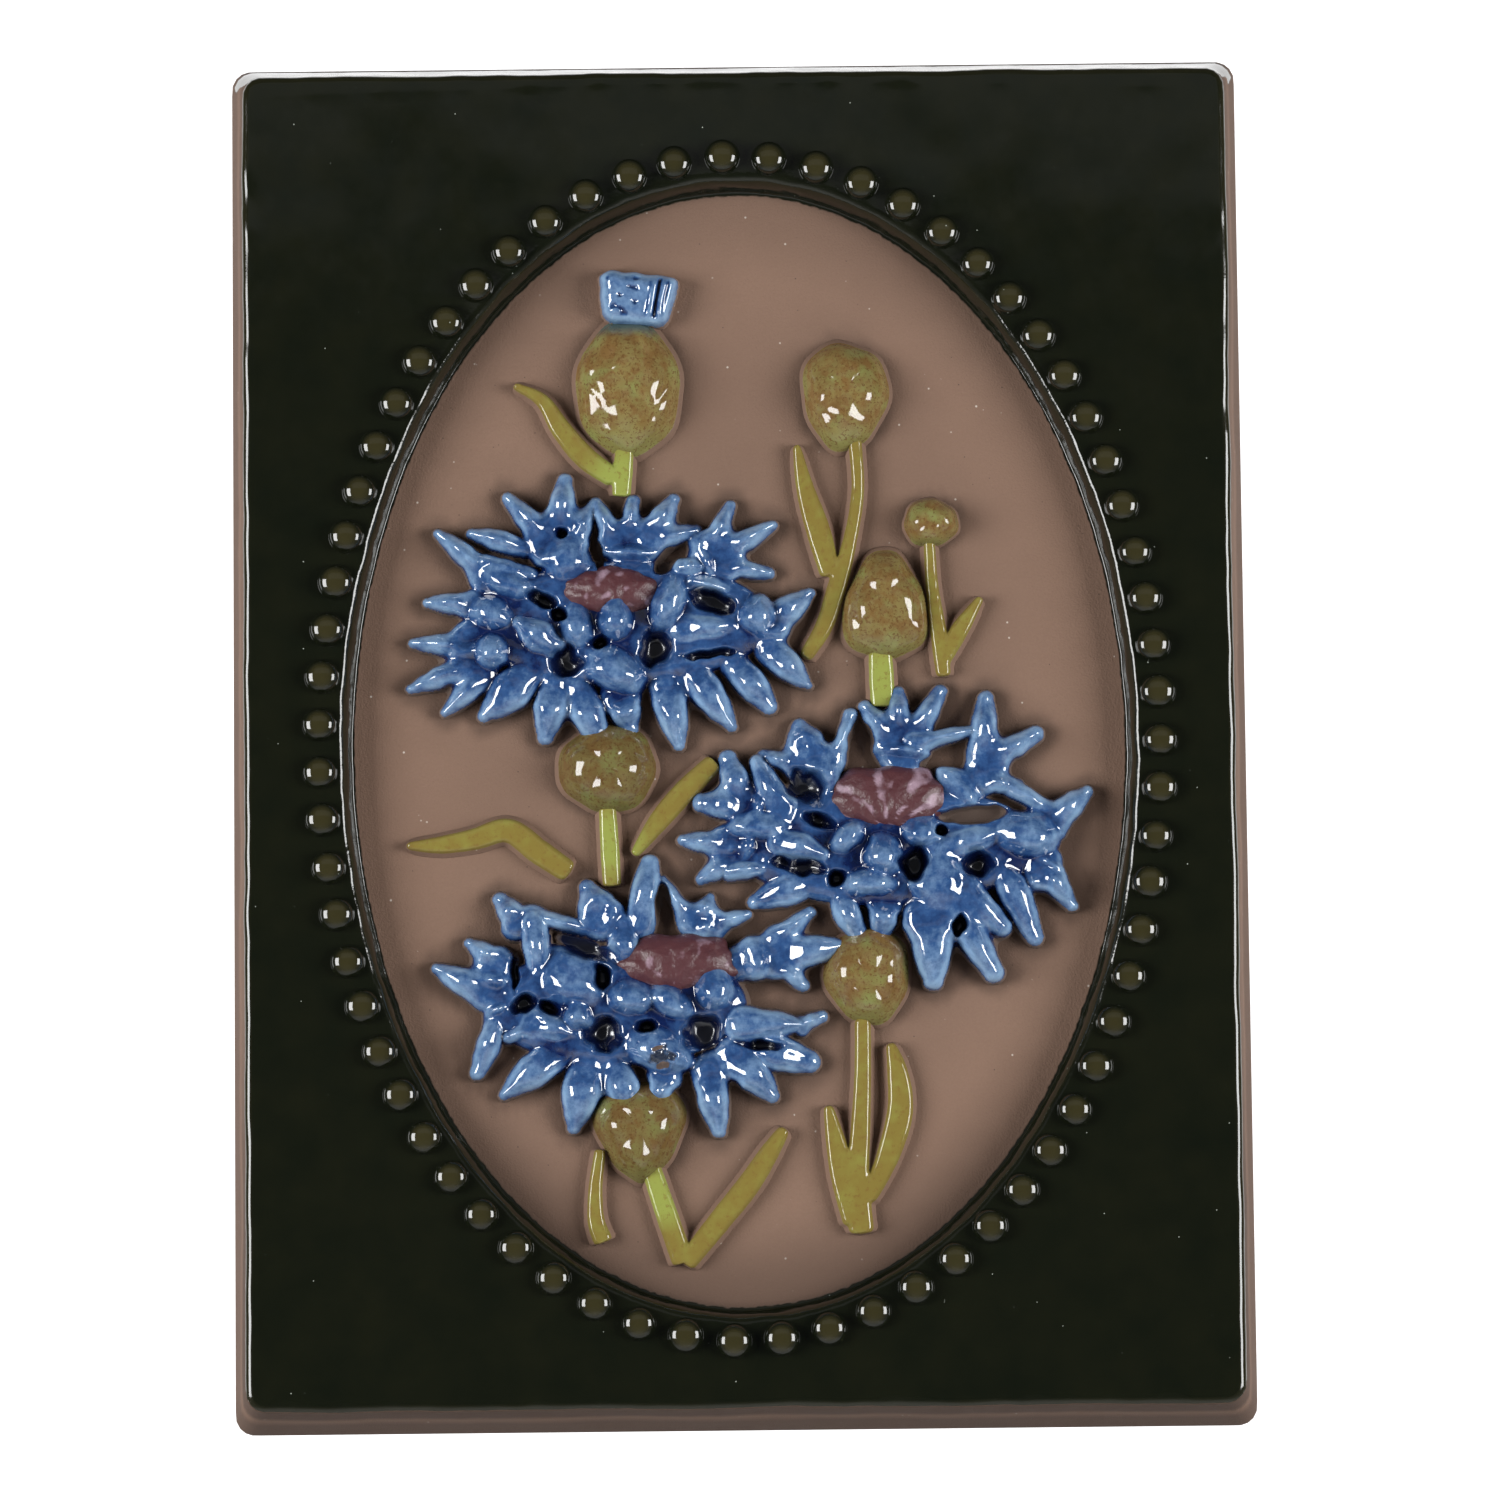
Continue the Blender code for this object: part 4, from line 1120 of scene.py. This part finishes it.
def flower_fields(name, x, z):
    """Fields of a flower at places from its middle, in millimetres.

    They are the height over the ground, the throats with their painted shade, the gaps, how far a
    place lies inside the outline, how near it is to the rim of a petal, and where the glaze pooled
    and lies in painted shade.
    """
    shape = FLOWERS[name]
    wobble = field_noise(x, z, 1.6, 4) * 0.15 + field_noise(x, z, 4.5, 7) * 0.2
    lift = field_noise(x, z, 3.4, 9) * 0.32 + field_noise(x, z, 1.3, 2) * 0.08
    height = np.full(x.shape, -0.6)
    bx, bz, bw, bh = shape["bed"]
    bed = (1.0 - np.hypot((x - bx) / bw, (z - bz) / bh)) * bh
    height, _ = soft_max(height, pillow(bed, BED_HEIGHT + 1.5 * lift), 0.3)
    # Where the bed shows between the florets: pooled glaze, also painted in shade
    pooled_and_shaded = step(bed, -0.3, 1.2)
    cover, rim = np.full(x.shape, -9.0), np.zeros(x.shape)
    for level, tip, rows in shape["florets"]:
        inside, top = np.full(x.shape, -9.0), np.full(x.shape, LEVELS[level][1])
        for row in rows:
            one, tall = petal_field(x, z, row, tip, LEVELS[level])
            inside, share = soft_max(inside, one, 1.8)
            top = top + (tall - top) * share
        inside = inside + wobble
        cover = np.maximum(cover, inside)
        height, share = soft_max(height, pillow(inside, top + lift), 0.4)
        rim += (np.exp(-(((inside - 0.4) / 0.48) ** 2)) - rim) * share
        pooled_and_shaded *= 1.0 - share * step(top, 3.4, 4.6)
    for *oval_shape, top in shape["lobes"]:
        tongue = 1.0 + 0.35 * step(z - oval_shape[1], 0.0, 1.2 * oval_shape[3])
        near_z = oval_shape[1] + (z - 1.3 * wobble - oval_shape[1]) / tongue
        far = oval_share(x + 1.6 * wobble, near_z, oval_shape) / 1.12
        inside = (1.0 - far) * min(oval_shape[2:4])
        dome = top * (1.0 - np.clip(far, 0.0, 1.0) ** 2.8) ** 0.7 + lift - 9.0 * (far > 1.0)
        cover = np.maximum(cover, inside)
        height, share = soft_max(height, dome, 2.0)
        rim += (np.exp(-(((inside - 0.5) / 0.4) ** 2)) * 0.7 - rim) * share
        pooled_and_shaded *= 1.0 - share
    throat, bowl, gap = hollow_fields(shape, x, z, wobble)
    height = np.maximum(height, -0.6)
    height = height + (np.minimum(height, bowl) - height) * step(throat, 0.0, 0.6)
    height = np.maximum(height, np.where(throat > 0.3, 0.5, -0.6))
    height = height + (np.minimum(height, 0.3) - height) * gap
    return {
        "height": height, "throat": throat, "gap": gap, "cover": cover, "rim": rim,
        "pooled_and_shaded": pooled_and_shaded,
    }


def hollow_fields(shape, x, z, wobble):
    """The throats' painted near-black shade, how deep their bowls let the glaze reach, and the gaps."""
    throat, gap = np.zeros(x.shape), np.zeros(x.shape)
    bowl, ragged = np.full(x.shape, 9.0), field_noise(x, z, 1.8, 15)
    for hollow in shape["throats"]:
        far = oval_share(x + 2.6 * wobble, z - 2.2 * wobble, hollow) + 0.3 * ragged
        throat = np.maximum(throat, 1.0 - step(far, 0.15, 1.75))
        bowl = np.minimum(bowl, 0.3 + 1.25 * far ** 2)
    for hollow in shape["gaps"]:
        gap = np.maximum(gap, 1.0 - step(oval_share(x, z, hollow) + wobble, 0.75, 1.15))
    return throat, bowl, gap


def oval_share(x, z, shape):
    """Distance from the middle of a turned oval as a share of its reach."""
    middle_x, middle_z, half_width, half_height, turn = shape
    angle = math.radians(turn)
    along = (x - middle_x) * math.cos(angle) + (z - middle_z) * math.sin(angle)
    across = (z - middle_z) * math.cos(angle) - (x - middle_x) * math.sin(angle)
    return np.hypot(along / half_width, across / half_height)


def field_noise(x, z, grain, seed):
    """Smooth noise from -1 to 1 on a grid of places in millimetres."""
    flat = np.stack([x.ravel(), np.zeros(x.size), z.ravel()], axis=1)
    return waver(flat, grain, seed).reshape(x.shape)


def blur(field, reach):
    """Gaussian mean of a grid; the reach is in cells."""
    width = int(3 * reach) + 1
    weights = np.exp(-0.5 * (np.arange(-width, width + 1) / reach) ** 2)
    weights /= weights.sum()
    wide = np.pad(field, width, mode="edge")
    rows = np.apply_along_axis(np.convolve, 1, wide, weights, "valid")
    return np.apply_along_axis(np.convolve, 0, rows, weights, "valid")


def outside_of(sunk):
    """The sunk cells that are joined to the border of the grid."""
    found = np.zeros(sunk.shape, bool)
    rows, columns = sunk.shape
    todo = [(r, c) for r in range(rows) for c in (0, columns - 1)]
    todo += [(r, c) for r in (0, rows - 1) for c in range(columns)]
    while todo:
        r, c = todo.pop()
        if 0 <= r < rows and 0 <= c < columns and sunk[r, c] and not found[r, c]:
            found[r, c] = True
            todo += [(r + 1, c), (r - 1, c), (r, c + 1), (r, c - 1)]
    return found


def field_piece(name, x, z, height, fields, middle):
    """A solid whose front is a height field: a grid that is lifted, trimmed and closed."""
    item, row, column = grid(name, x.shape[0] - 1, x.shape[1] - 1)
    points = np.stack([
        (middle[0] + x[row, column]) * MM, GROUND_Y - height[row, column] * MM,
        (middle[1] + z[row, column]) * MM,
    ], axis=1)
    write_points(item.data, points)
    for key, values in fields.items():
        give(item.data, key, values[row, column])
    away = outside_of(blur((height < -0.45).astype(float), 1.0) > 0.6)
    activate(item)
    bpy.ops.object.mode_set(mode="EDIT")
    bpy.ops.mesh.select_mode(type="VERT")
    bpy.ops.mesh.select_all(action="DESELECT")
    bpy.ops.object.mode_set(mode="OBJECT")
    item.data.vertices.foreach_set("select", away[row, column])
    bpy.ops.object.mode_set(mode="EDIT")
    bpy.ops.mesh.delete(type="VERT")
    bpy.ops.mesh.select_all(action="DESELECT")
    bpy.ops.mesh.select_non_manifold()
    bpy.ops.mesh.extrude_region_move(TRANSFORM_OT_translate={"value": (0.0, 1.0 * MM, 0.0)})
    bpy.ops.object.mode_set(mode="OBJECT")
    chosen = np.zeros(len(item.data.vertices), bool)
    item.data.vertices.foreach_get("select", chosen)
    points = read_points(item.data)
    points[chosen, 1] = GROUND_Y + 1.6 * MM
    write_points(item.data, points)
    bpy.ops.object.mode_set(mode="EDIT")
    bpy.ops.mesh.fill()
    bpy.ops.object.mode_set(mode="OBJECT")
    face_outwards(item)
    soften(item, 2)
    return item


def field_grid(low_x, high_x, low_z, high_z):
    """A grid of places in millimetres."""
    pitch = sizes().pitch / MM
    across = np.arange(low_x, high_x + pitch, pitch)
    along = np.arange(low_z, high_z + pitch, pitch)
    return np.meshgrid(across, along)


def chip_field(chip, x, z):
    """Where the glaze is chipped away: an uneven spot with a ridge left across it."""
    if not chip:
        return np.zeros(x.shape)
    middle_x, middle_z, half_width, half_height = chip
    far = np.hypot((x - middle_x) / half_width, (z - middle_z) / half_height)
    ridge = np.exp(-(((z - middle_z + 0.5 * (x - middle_x) + 0.1) / 0.22) ** 2))
    return 1.0 - step(far + 0.45 * field_noise(x, z, 1.1, 3) + 0.35 * ridge, 0.7, 1.0)


def make_flower(name):
    """One cornflower head: webbed florets, rounded front petals and deep throats."""
    shape = FLOWERS[name]
    rows = [row for _, _, group in shape["florets"] for row in group]
    ends = np.array([row[:4] for row in rows])
    x, z = field_grid(
        ends[:, [0, 2]].min() - 4.0, ends[:, [0, 2]].max() + 4.0,
        ends[:, [1, 3]].min() - 4.0, ends[:, [1, 3]].max() + 4.0,
    )
    made = flower_fields(name, x, z)
    height, throat, gap = made["height"], made["throat"], made["gap"]
    chip = chip_field(shape["chip"], x, z)
    height = height - chip * (0.45 + 0.3 * field_noise(x, z, 0.35, 6))
    black = chip * step(field_noise(x, z, 1.5, 17), -0.2, 0.05)
    cells = 1.0 / (sizes().pitch / MM)
    fine = height - blur(height, 0.45 * cells)
    broad = height - blur(height, 1.9 * cells)
    glaze = np.maximum(step(height, 0.9, 1.6), throat) * (1.0 - chip) * (1.0 - gap)
    glaze = np.maximum(glaze, black)
    tint = 0.5 * field_noise(x, z, 4.2, 12) + 0.35 * field_noise(x, z, 1.9, 13)
    # Lighter on rims and ridges and darker in hollows and on the bed: thin and pooled glaze, and
    # painted light and shade as well
    thin = 0.38 + 0.42 * np.minimum(broad, 0.0) + 0.12 * np.maximum(broad, 0.0) + 0.16 * fine
    thin += 0.32 * made["rim"] * step(height, 1.6, 3.2) - 0.12 * made["pooled_and_shaded"] + 0.3 * tint
    fields = {
        "glaze": glaze,
        "thin": np.clip(thin, 0.0, 1.0),
        # Painted shade: near black in the throats and where a place lies deep below its surroundings;
        # in the chip the same field gives the near-black glaze that is its own colour
        "throat": np.maximum(np.maximum(throat, step(-broad, 1.2, 2.7)) * 0.97, 0.9 * black),
        # Painted shade on the bare clay among the petals, darker where it lies low; in the chip the
        # darkest clay is its own colour
        "shade": np.where(chip > 0.02, 1.0, np.clip(0.85 - 0.25 * broad, 0.0, 1.0)),
    }
    return field_piece(f"flower_{name}", x, z, height, fields, shape["middle"])


def make_eye(name):
    """The tufted eye of a flower, with pale streaks that fan out from its foot."""
    x, z, half_width, half_height = FLOWERS[name]["eye"]
    x, z = x + FLOWERS[name]["middle"][0], z + FLOWERS[name]["middle"][1]
    item = ball(f"eye_{name}", 72, 44)
    up, out, around = ball_places(item.data)
    lift = np.where(up > 0, sizes().eye_rise * up ** 0.6, 1.4 * MM * up)
    edge = 1.0 + (0.06 * np.sin(around * 5.0 + x) + 0.04 * np.sin(around * 11.0 + z)) * out ** 4
    points = np.stack([
        (x + half_width * out * edge * np.cos(around)) * MM,
        GROUND_Y - lift,
        (z + half_height * out * edge * np.sin(around)) * MM,
    ], axis=1)
    fan = np.arctan2(points[:, 2] / MM - (z - half_height * 1.1), (points[:, 0] / MM - x) * 0.75)
    ribs = np.cos(fan * 13.0 + waver(points, 2.4 * MM, 4) * 2.2)
    tufts = 0.5 * ribs + 0.9 * waver(points, 1.3 * MM, 12) + 0.4 * waver(points, 0.6 * MM, 13)
    points[:, 1] -= np.where(up > 0, 0.24 * MM * tufts, 0.0)
    write_points(item.data, points)
    patches = waver(points, 1.7 * MM, 31 + round(x))
    share, paleness = EYE_FANS[name]
    blurred = np.clip(0.9 * patches - 0.2 - ribs, 0.0, 1.0)
    streak = share * blurred + (1.0 - share) * np.clip(patches * 1.9 - 0.1, 0, 1)
    give(item.data, "streak", paleness * streak * step(up, 0.05, 0.4))
    return item


# Buds, tuft, stems and leaves

def make_buds():
    """The scaly buds and calyxes."""
    items = []
    pad = ball("bud pad", 72, 60)
    for number, (x, z, half_width, half_height, taper) in enumerate(BUDS):
        item = copy_of(pad, f"bud {number}")
        up, out, around = ball_places(item.data)
        out = out ** 0.82
        rise = sizes().bud_rise * (0.75 + 0.04 * min(half_width, half_height))
        lift = np.where(up > 0, rise * up, 1.4 * MM * up)
        flare = 1.0 + np.clip(1.0 - lift / (0.3 * rise), 0.0, 1.0) ** 2 * 0.1
        uneven = 1.0 + 0.035 * np.sin(around * 3 + number) + 0.02 * np.sin(around * 7 + 2 * number)
        across = half_width * out * flare * uneven * np.cos(around)
        along = half_height * out * flare * uneven * np.sin(around)
        across *= 1.0 - taper * np.sin(around) * out
        flat = np.stack([across, along, across * 0], 1) * MM
        wave = waver(flat, 5 * MM, number + 20)
        scale_x, scale_z = across / 3.3, along / 3.7
        lattice = np.abs(np.sin((scale_x + scale_z) * 1.57 + wave)) * np.abs(
            np.sin((scale_x - scale_z) * 1.57 - wave)
        )
        bumps = (lattice ** 0.8 - 0.5) * 0.5 * MM * step(up, 0.2, 0.7)
        bumps += waver(flat, 2.6 * MM, number + 40) * 0.22 * MM * step(up, 0.05, 0.4)
        points = np.stack([
            (x + across) * MM, GROUND_Y - lift - bumps, (z + along) * MM
        ], axis=1)
        write_points(item.data, points)
        give(item.data, "glaze", step(lift, 0.06 * rise, 0.24 * rise))
        give(item.data, "lime", step(-along / half_height, 0.45, 0.95) * 0.6)
        give(item.data, "shade", np.full(len(points), 0.25))
        top = step(along / half_height, 0.66, 0.9) if number == 0 else np.zeros(len(points))
        give(item.data, "stain", 0.75 * top)
        give(item.data, "deep", np.full(len(points), BUD_DEPTHS[number]))
        items.append(item)
    bpy.data.objects.remove(pad, do_unlink=True)
    return join(items, "buds")


def make_tuft():
    """The square tuft of blue petals that opens from the top bud."""
    middle_x, middle_z, foot, top, height, turn = TUFT
    x, z = field_grid(-8.5, 8.5, -7.0, 7.0)
    angle = math.radians(turn)
    across = x * math.cos(angle) + z * math.sin(angle)
    along = z * math.cos(angle) - x * math.sin(angle)
    side = foot + (top - foot) * np.clip(along / height + 0.5, 0.0, 1.0) - np.abs(across)
    end = height / 2 + 0.14 * np.cos(across * 1.9 + 0.8) * (along > 0) - np.abs(along)
    corner = 1.5
    inside = np.minimum(side, end)
    rounded = corner - np.hypot(np.maximum(corner - side, 0.0), np.maximum(corner - end, 0.0))
    inside = np.where((side < corner) & (end < corner), rounded, inside)
    inside = inside + 0.16 * field_noise(x, z, 1.8, 6)
    lift = 0.25 * field_noise(x, z, 2.4, 8)
    body = np.maximum(pillow(inside, 4.5 + lift), -0.6)
    grooves = np.zeros(x.shape)
    for place, reach, depth in ((2.9, 0.3, 0.9), (4.2, 0.22, 0.45), (1.6, 0.2, 0.25)):
        bend = across - place * (1.0 + 0.12 * along / height) + 0.25 * field_noise(x, z, 3.0, 5)
        grooves = np.maximum(grooves, depth * np.exp(-((bend / reach) ** 2)))
    pits = step(field_noise(x, z, 0.95, 21), 0.14, 0.36) * step(-across, -2.0, 1.0) * 0.5
    marks = np.maximum(grooves, pits) * step(inside, 0.5, 1.3)
    body = body - 0.9 * marks
    rim = np.exp(-(((inside - 0.4) / 0.38) ** 2))
    fields = {
        "glaze": step(body, 0.9, 1.6),
        # Lighter on the rim and darker in the grooves and pits: thin and pooled glaze, and painted
        # light and shade as well
        "thin": np.clip(0.66 + 0.3 * rim - 0.9 * marks, 0.0, 1.0),
        # Painted shade: the tuft's grooves go dark
        "throat": np.clip(1.2 * grooves * step(inside, 0.5, 1.3) - 0.35, 0.0, 0.8),
        "shade": np.full(x.shape, 0.4),
    }
    return field_piece("tuft", x, z, body, fields, (middle_x, middle_z))


def make_leaves():
    """Stems and leaves, flat on top with rounded edges and feet of bare clay."""
    strip = ball("strip", 24, 64)
    items = []
    for number, stations in enumerate(LEAVES):
        item = copy_of(strip, f"leaf {number}")
        unit = read_points(item.data)
        spaced = np.arcsin(np.clip(unit[:, 2], -1.0, 1.0)) / math.pi + 0.5
        line, width = through(stations)
        points = ridge_points(
            unit, lambda s, line=line, spaced=spaced: line(spaced),
            lambda s, width=width, spaced=spaced: width(spaced) * 0.92 + 0.12 * MM,
            lambda s: sizes().leaf_rise * (0.9 + 0.1 * np.sin(s * math.pi)), 0.42, 0.22 * MM,
            sizes().foot_flare,
        )
        write_points(item.data, points)
        items.append(item)
    bpy.data.objects.remove(strip, do_unlink=True)
    item = join(items, "stems_and_leaves")
    melt(item, 0.26 * MM, 3)
    mesh = item.data
    points = read_points(mesh)
    rise = GROUND_Y - points[:, 1]
    give(mesh, "glaze", step(rise, 0.6 * MM, 1.6 * MM))
    lime = np.zeros(len(points))
    for x, z, reach in LIME_SPOTS:
        away = np.hypot(points[:, 0] / MM - x, points[:, 2] / MM - z)
        lime = np.maximum(lime, step(-away, -reach, -2.0))
    give(mesh, "lime", lime)
    give(mesh, "shade", np.full(len(points), 0.12))
    return item


# Operators

class PLAQUE_OT_slab(bpy.types.Operator):
    """Build the slab with its border, its lip and the clay ground"""

    bl_idname = "plaque.slab"
    bl_label = "Slab"

    def execute(self, context):
        glaze = glazed_look("border glaze on clay", border_paint, 0.09, 6 * MM, 0.012 * MM)
        settle(make_slab(), glaze, "green_glaze")
        return {"FINISHED"}


class PLAQUE_OT_beads(bpy.types.Operator):
    """Build the string of beads"""

    bl_idname = "plaque.beads"
    bl_label = "Beads"

    def execute(self, context):
        glaze = glazed_look("bead glaze", border_paint, 0.06, 3 * MM, 0.01 * MM)
        settle(make_beads(), glaze, "green_glaze")
        return {"FINISHED"}


class PLAQUE_OT_flowers(bpy.types.Operator):
    """Build the three flower heads and their eyes"""

    bl_idname = "plaque.flowers"
    bl_label = "Flowers"

    def execute(self, context):
        blue = glazed_look("cornflower glaze", blue_paint, 0.06, ior=1.8)
        plum = eye_look()
        for name in FLOWERS:
            settle(make_flower(name), blue, "blue_glaze")
            settle(make_eye(name), plum, "bare_clay")
        return {"FINISHED"}


class PLAQUE_OT_greenery(bpy.types.Operator):
    """Build the buds, the tuft, the stems and the leaves"""

    bl_idname = "plaque.greenery"
    bl_label = "Buds and leaves"

    def execute(self, context):
        settle(make_buds(), glazed_look("bud glaze", bud_paint, 0.08), "leaf_glaze")
        settle(make_leaves(), glazed_look("leaf glaze", green_paint, 0.07), "leaf_glaze")
        settle(make_tuft(), bpy.data.materials["cornflower glaze"], "blue_glaze")
        return {"FINISHED"}


# Stage

def make_lamp(name, place, size, power):
    """A rectangular lamp that faces the origin."""
    data = bpy.data.lights.new(name, "AREA")
    data.shape = "RECTANGLE"
    data.size, data.size_y = size
    data.energy = power
    lamp = bpy.data.objects.new(name, data)
    lamp.location = place
    lamp.rotation_euler = (-Vector(place)).to_track_quat("-Z", "Y").to_euler()
    bpy.context.scene.collection.objects.link(lamp)


def stage_plane(name, placing, look):
    """One large plane of the studio."""
    deselect()
    bpy.ops.mesh.primitive_plane_add(size=1.0)
    plane = bpy.context.active_object
    plane.name = name
    plane.data.transform(placing)
    plane.data.materials.append(look)
    return plane


class PLAQUE_OT_stage(bpy.types.Operator):
    """Set the camera, the lamps, the floor and the pale backdrop"""

    bl_idname = "plaque.stage"
    bl_label = "Studio"

    def execute(self, context):
        scene = context.scene
        data = bpy.data.cameras.new("camera")
        data.sensor_width = SENSOR
        data.lens = SENSOR * CAMERA_DISTANCE / FRAME_SIZE
        camera = bpy.data.objects.new("camera", data)
        pitch = math.radians(CAMERA_PITCH)
        towards = Vector((0.0, math.cos(pitch), math.sin(pitch)))
        camera.location = CAMERA_AIM - towards * CAMERA_DISTANCE
        roll = Matrix.Rotation(math.radians(-CAMERA_ROLL), 4, "Z")
        camera.matrix_world = (
            Matrix.Translation(camera.location)
            @ towards.to_track_quat("-Z", "Y").to_matrix().to_4x4() @ roll
        )
        scene.collection.objects.link(camera)
        scene.camera = camera
        for lamp in LAMPS:
            make_lamp(*lamp)
        self.add_floor()
        world = bpy.data.worlds.new("studio")
        world.use_nodes = True
        shade = world.node_tree.nodes["Background"]
        shade.inputs["Color"].default_value = (0.9, 0.93, 1.0, 1.0)
        shade.inputs["Strength"].default_value = 0.05
        scene.world = world
        scene.view_settings.view_transform = "Standard"
        return {"FINISHED"}

    def add_floor(self):
        """A pale floor below and a pale sweep well behind the plaque."""
        tree = Tree("pale floor")
        tone = tree.mix(tree.noise(0.4, 2.0), (0.56, 0.56, 0.56, 1.0), (0.6, 0.6, 0.6, 1.0))
        tree.put(tree.shader.inputs["Base Color"], tone)
        tree.shader.inputs["Roughness"].default_value = 0.7
        low = Matrix.Translation((0.0, 0.0, -0.75))
        floor = stage_plane("floor", low @ Matrix.Diagonal((9.0, 9.0, 1.0, 1.0)), tree.look)
        glow = Tree("pale backdrop")
        glow.shader.inputs["Base Color"].default_value = (0.8, 0.8, 0.8, 1.0)
        glow.shader.inputs["Emission Color"].default_value = (1.0, 1.0, 1.0, 1.0)
        glow.shader.inputs["Emission Strength"].default_value = 0.95
        upright = Matrix.Translation((0.0, 1.6, 0.8)) @ Matrix.Rotation(math.pi / 2, 4, "X")
        wall = stage_plane("backdrop", upright @ Matrix.Diagonal((7.0, 5.0, 1.0, 1.0)), glow.look)


class PLAQUE_PT_panel(bpy.types.Panel):
    """The plaque's pieces in the sidebar"""

    bl_idname = "PLAQUE_PT_panel"
    bl_label = "Cornflower Plaque"
    bl_space_type = "VIEW_3D"
    bl_region_type = "UI"
    bl_category = "Plaque"

    def draw(self, context):
        column = self.layout.column()
        for kind in STEPS:
            column.operator(kind.bl_idname, text=kind.bl_label)
        for group in (context.scene.plaque_sizes, context.scene.plaque_colours):
            for key in group.bl_rna.properties.keys():
                if key not in {"rna_type", "name"}:
                    column.prop(group, key)


STEPS = (
    PLAQUE_OT_slab, PLAQUE_OT_beads, PLAQUE_OT_flowers, PLAQUE_OT_greenery, PLAQUE_OT_stage,
)
CLASSES = (PlaqueSizes, PlaqueColours, *STEPS, PLAQUE_PT_panel)


def register():
    """Register the classes and their settings."""
    for kind in CLASSES:
        bpy.utils.register_class(kind)
    bpy.types.Scene.plaque_sizes = PointerProperty(type=PlaqueSizes)
    bpy.types.Scene.plaque_colours = PointerProperty(type=PlaqueColours)


def unregister():
    """Remove the classes and their settings."""
    del bpy.types.Scene.plaque_sizes
    del bpy.types.Scene.plaque_colours
    for kind in reversed(CLASSES):
        bpy.utils.unregister_class(kind)


def main():
    """Build every piece."""
    register()
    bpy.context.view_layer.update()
    bpy.ops.plaque.slab()
    bpy.ops.plaque.beads()
    bpy.ops.plaque.flowers()
    bpy.ops.plaque.greenery()
    bpy.ops.plaque.stage()


if __name__ == "__main__":
    main()
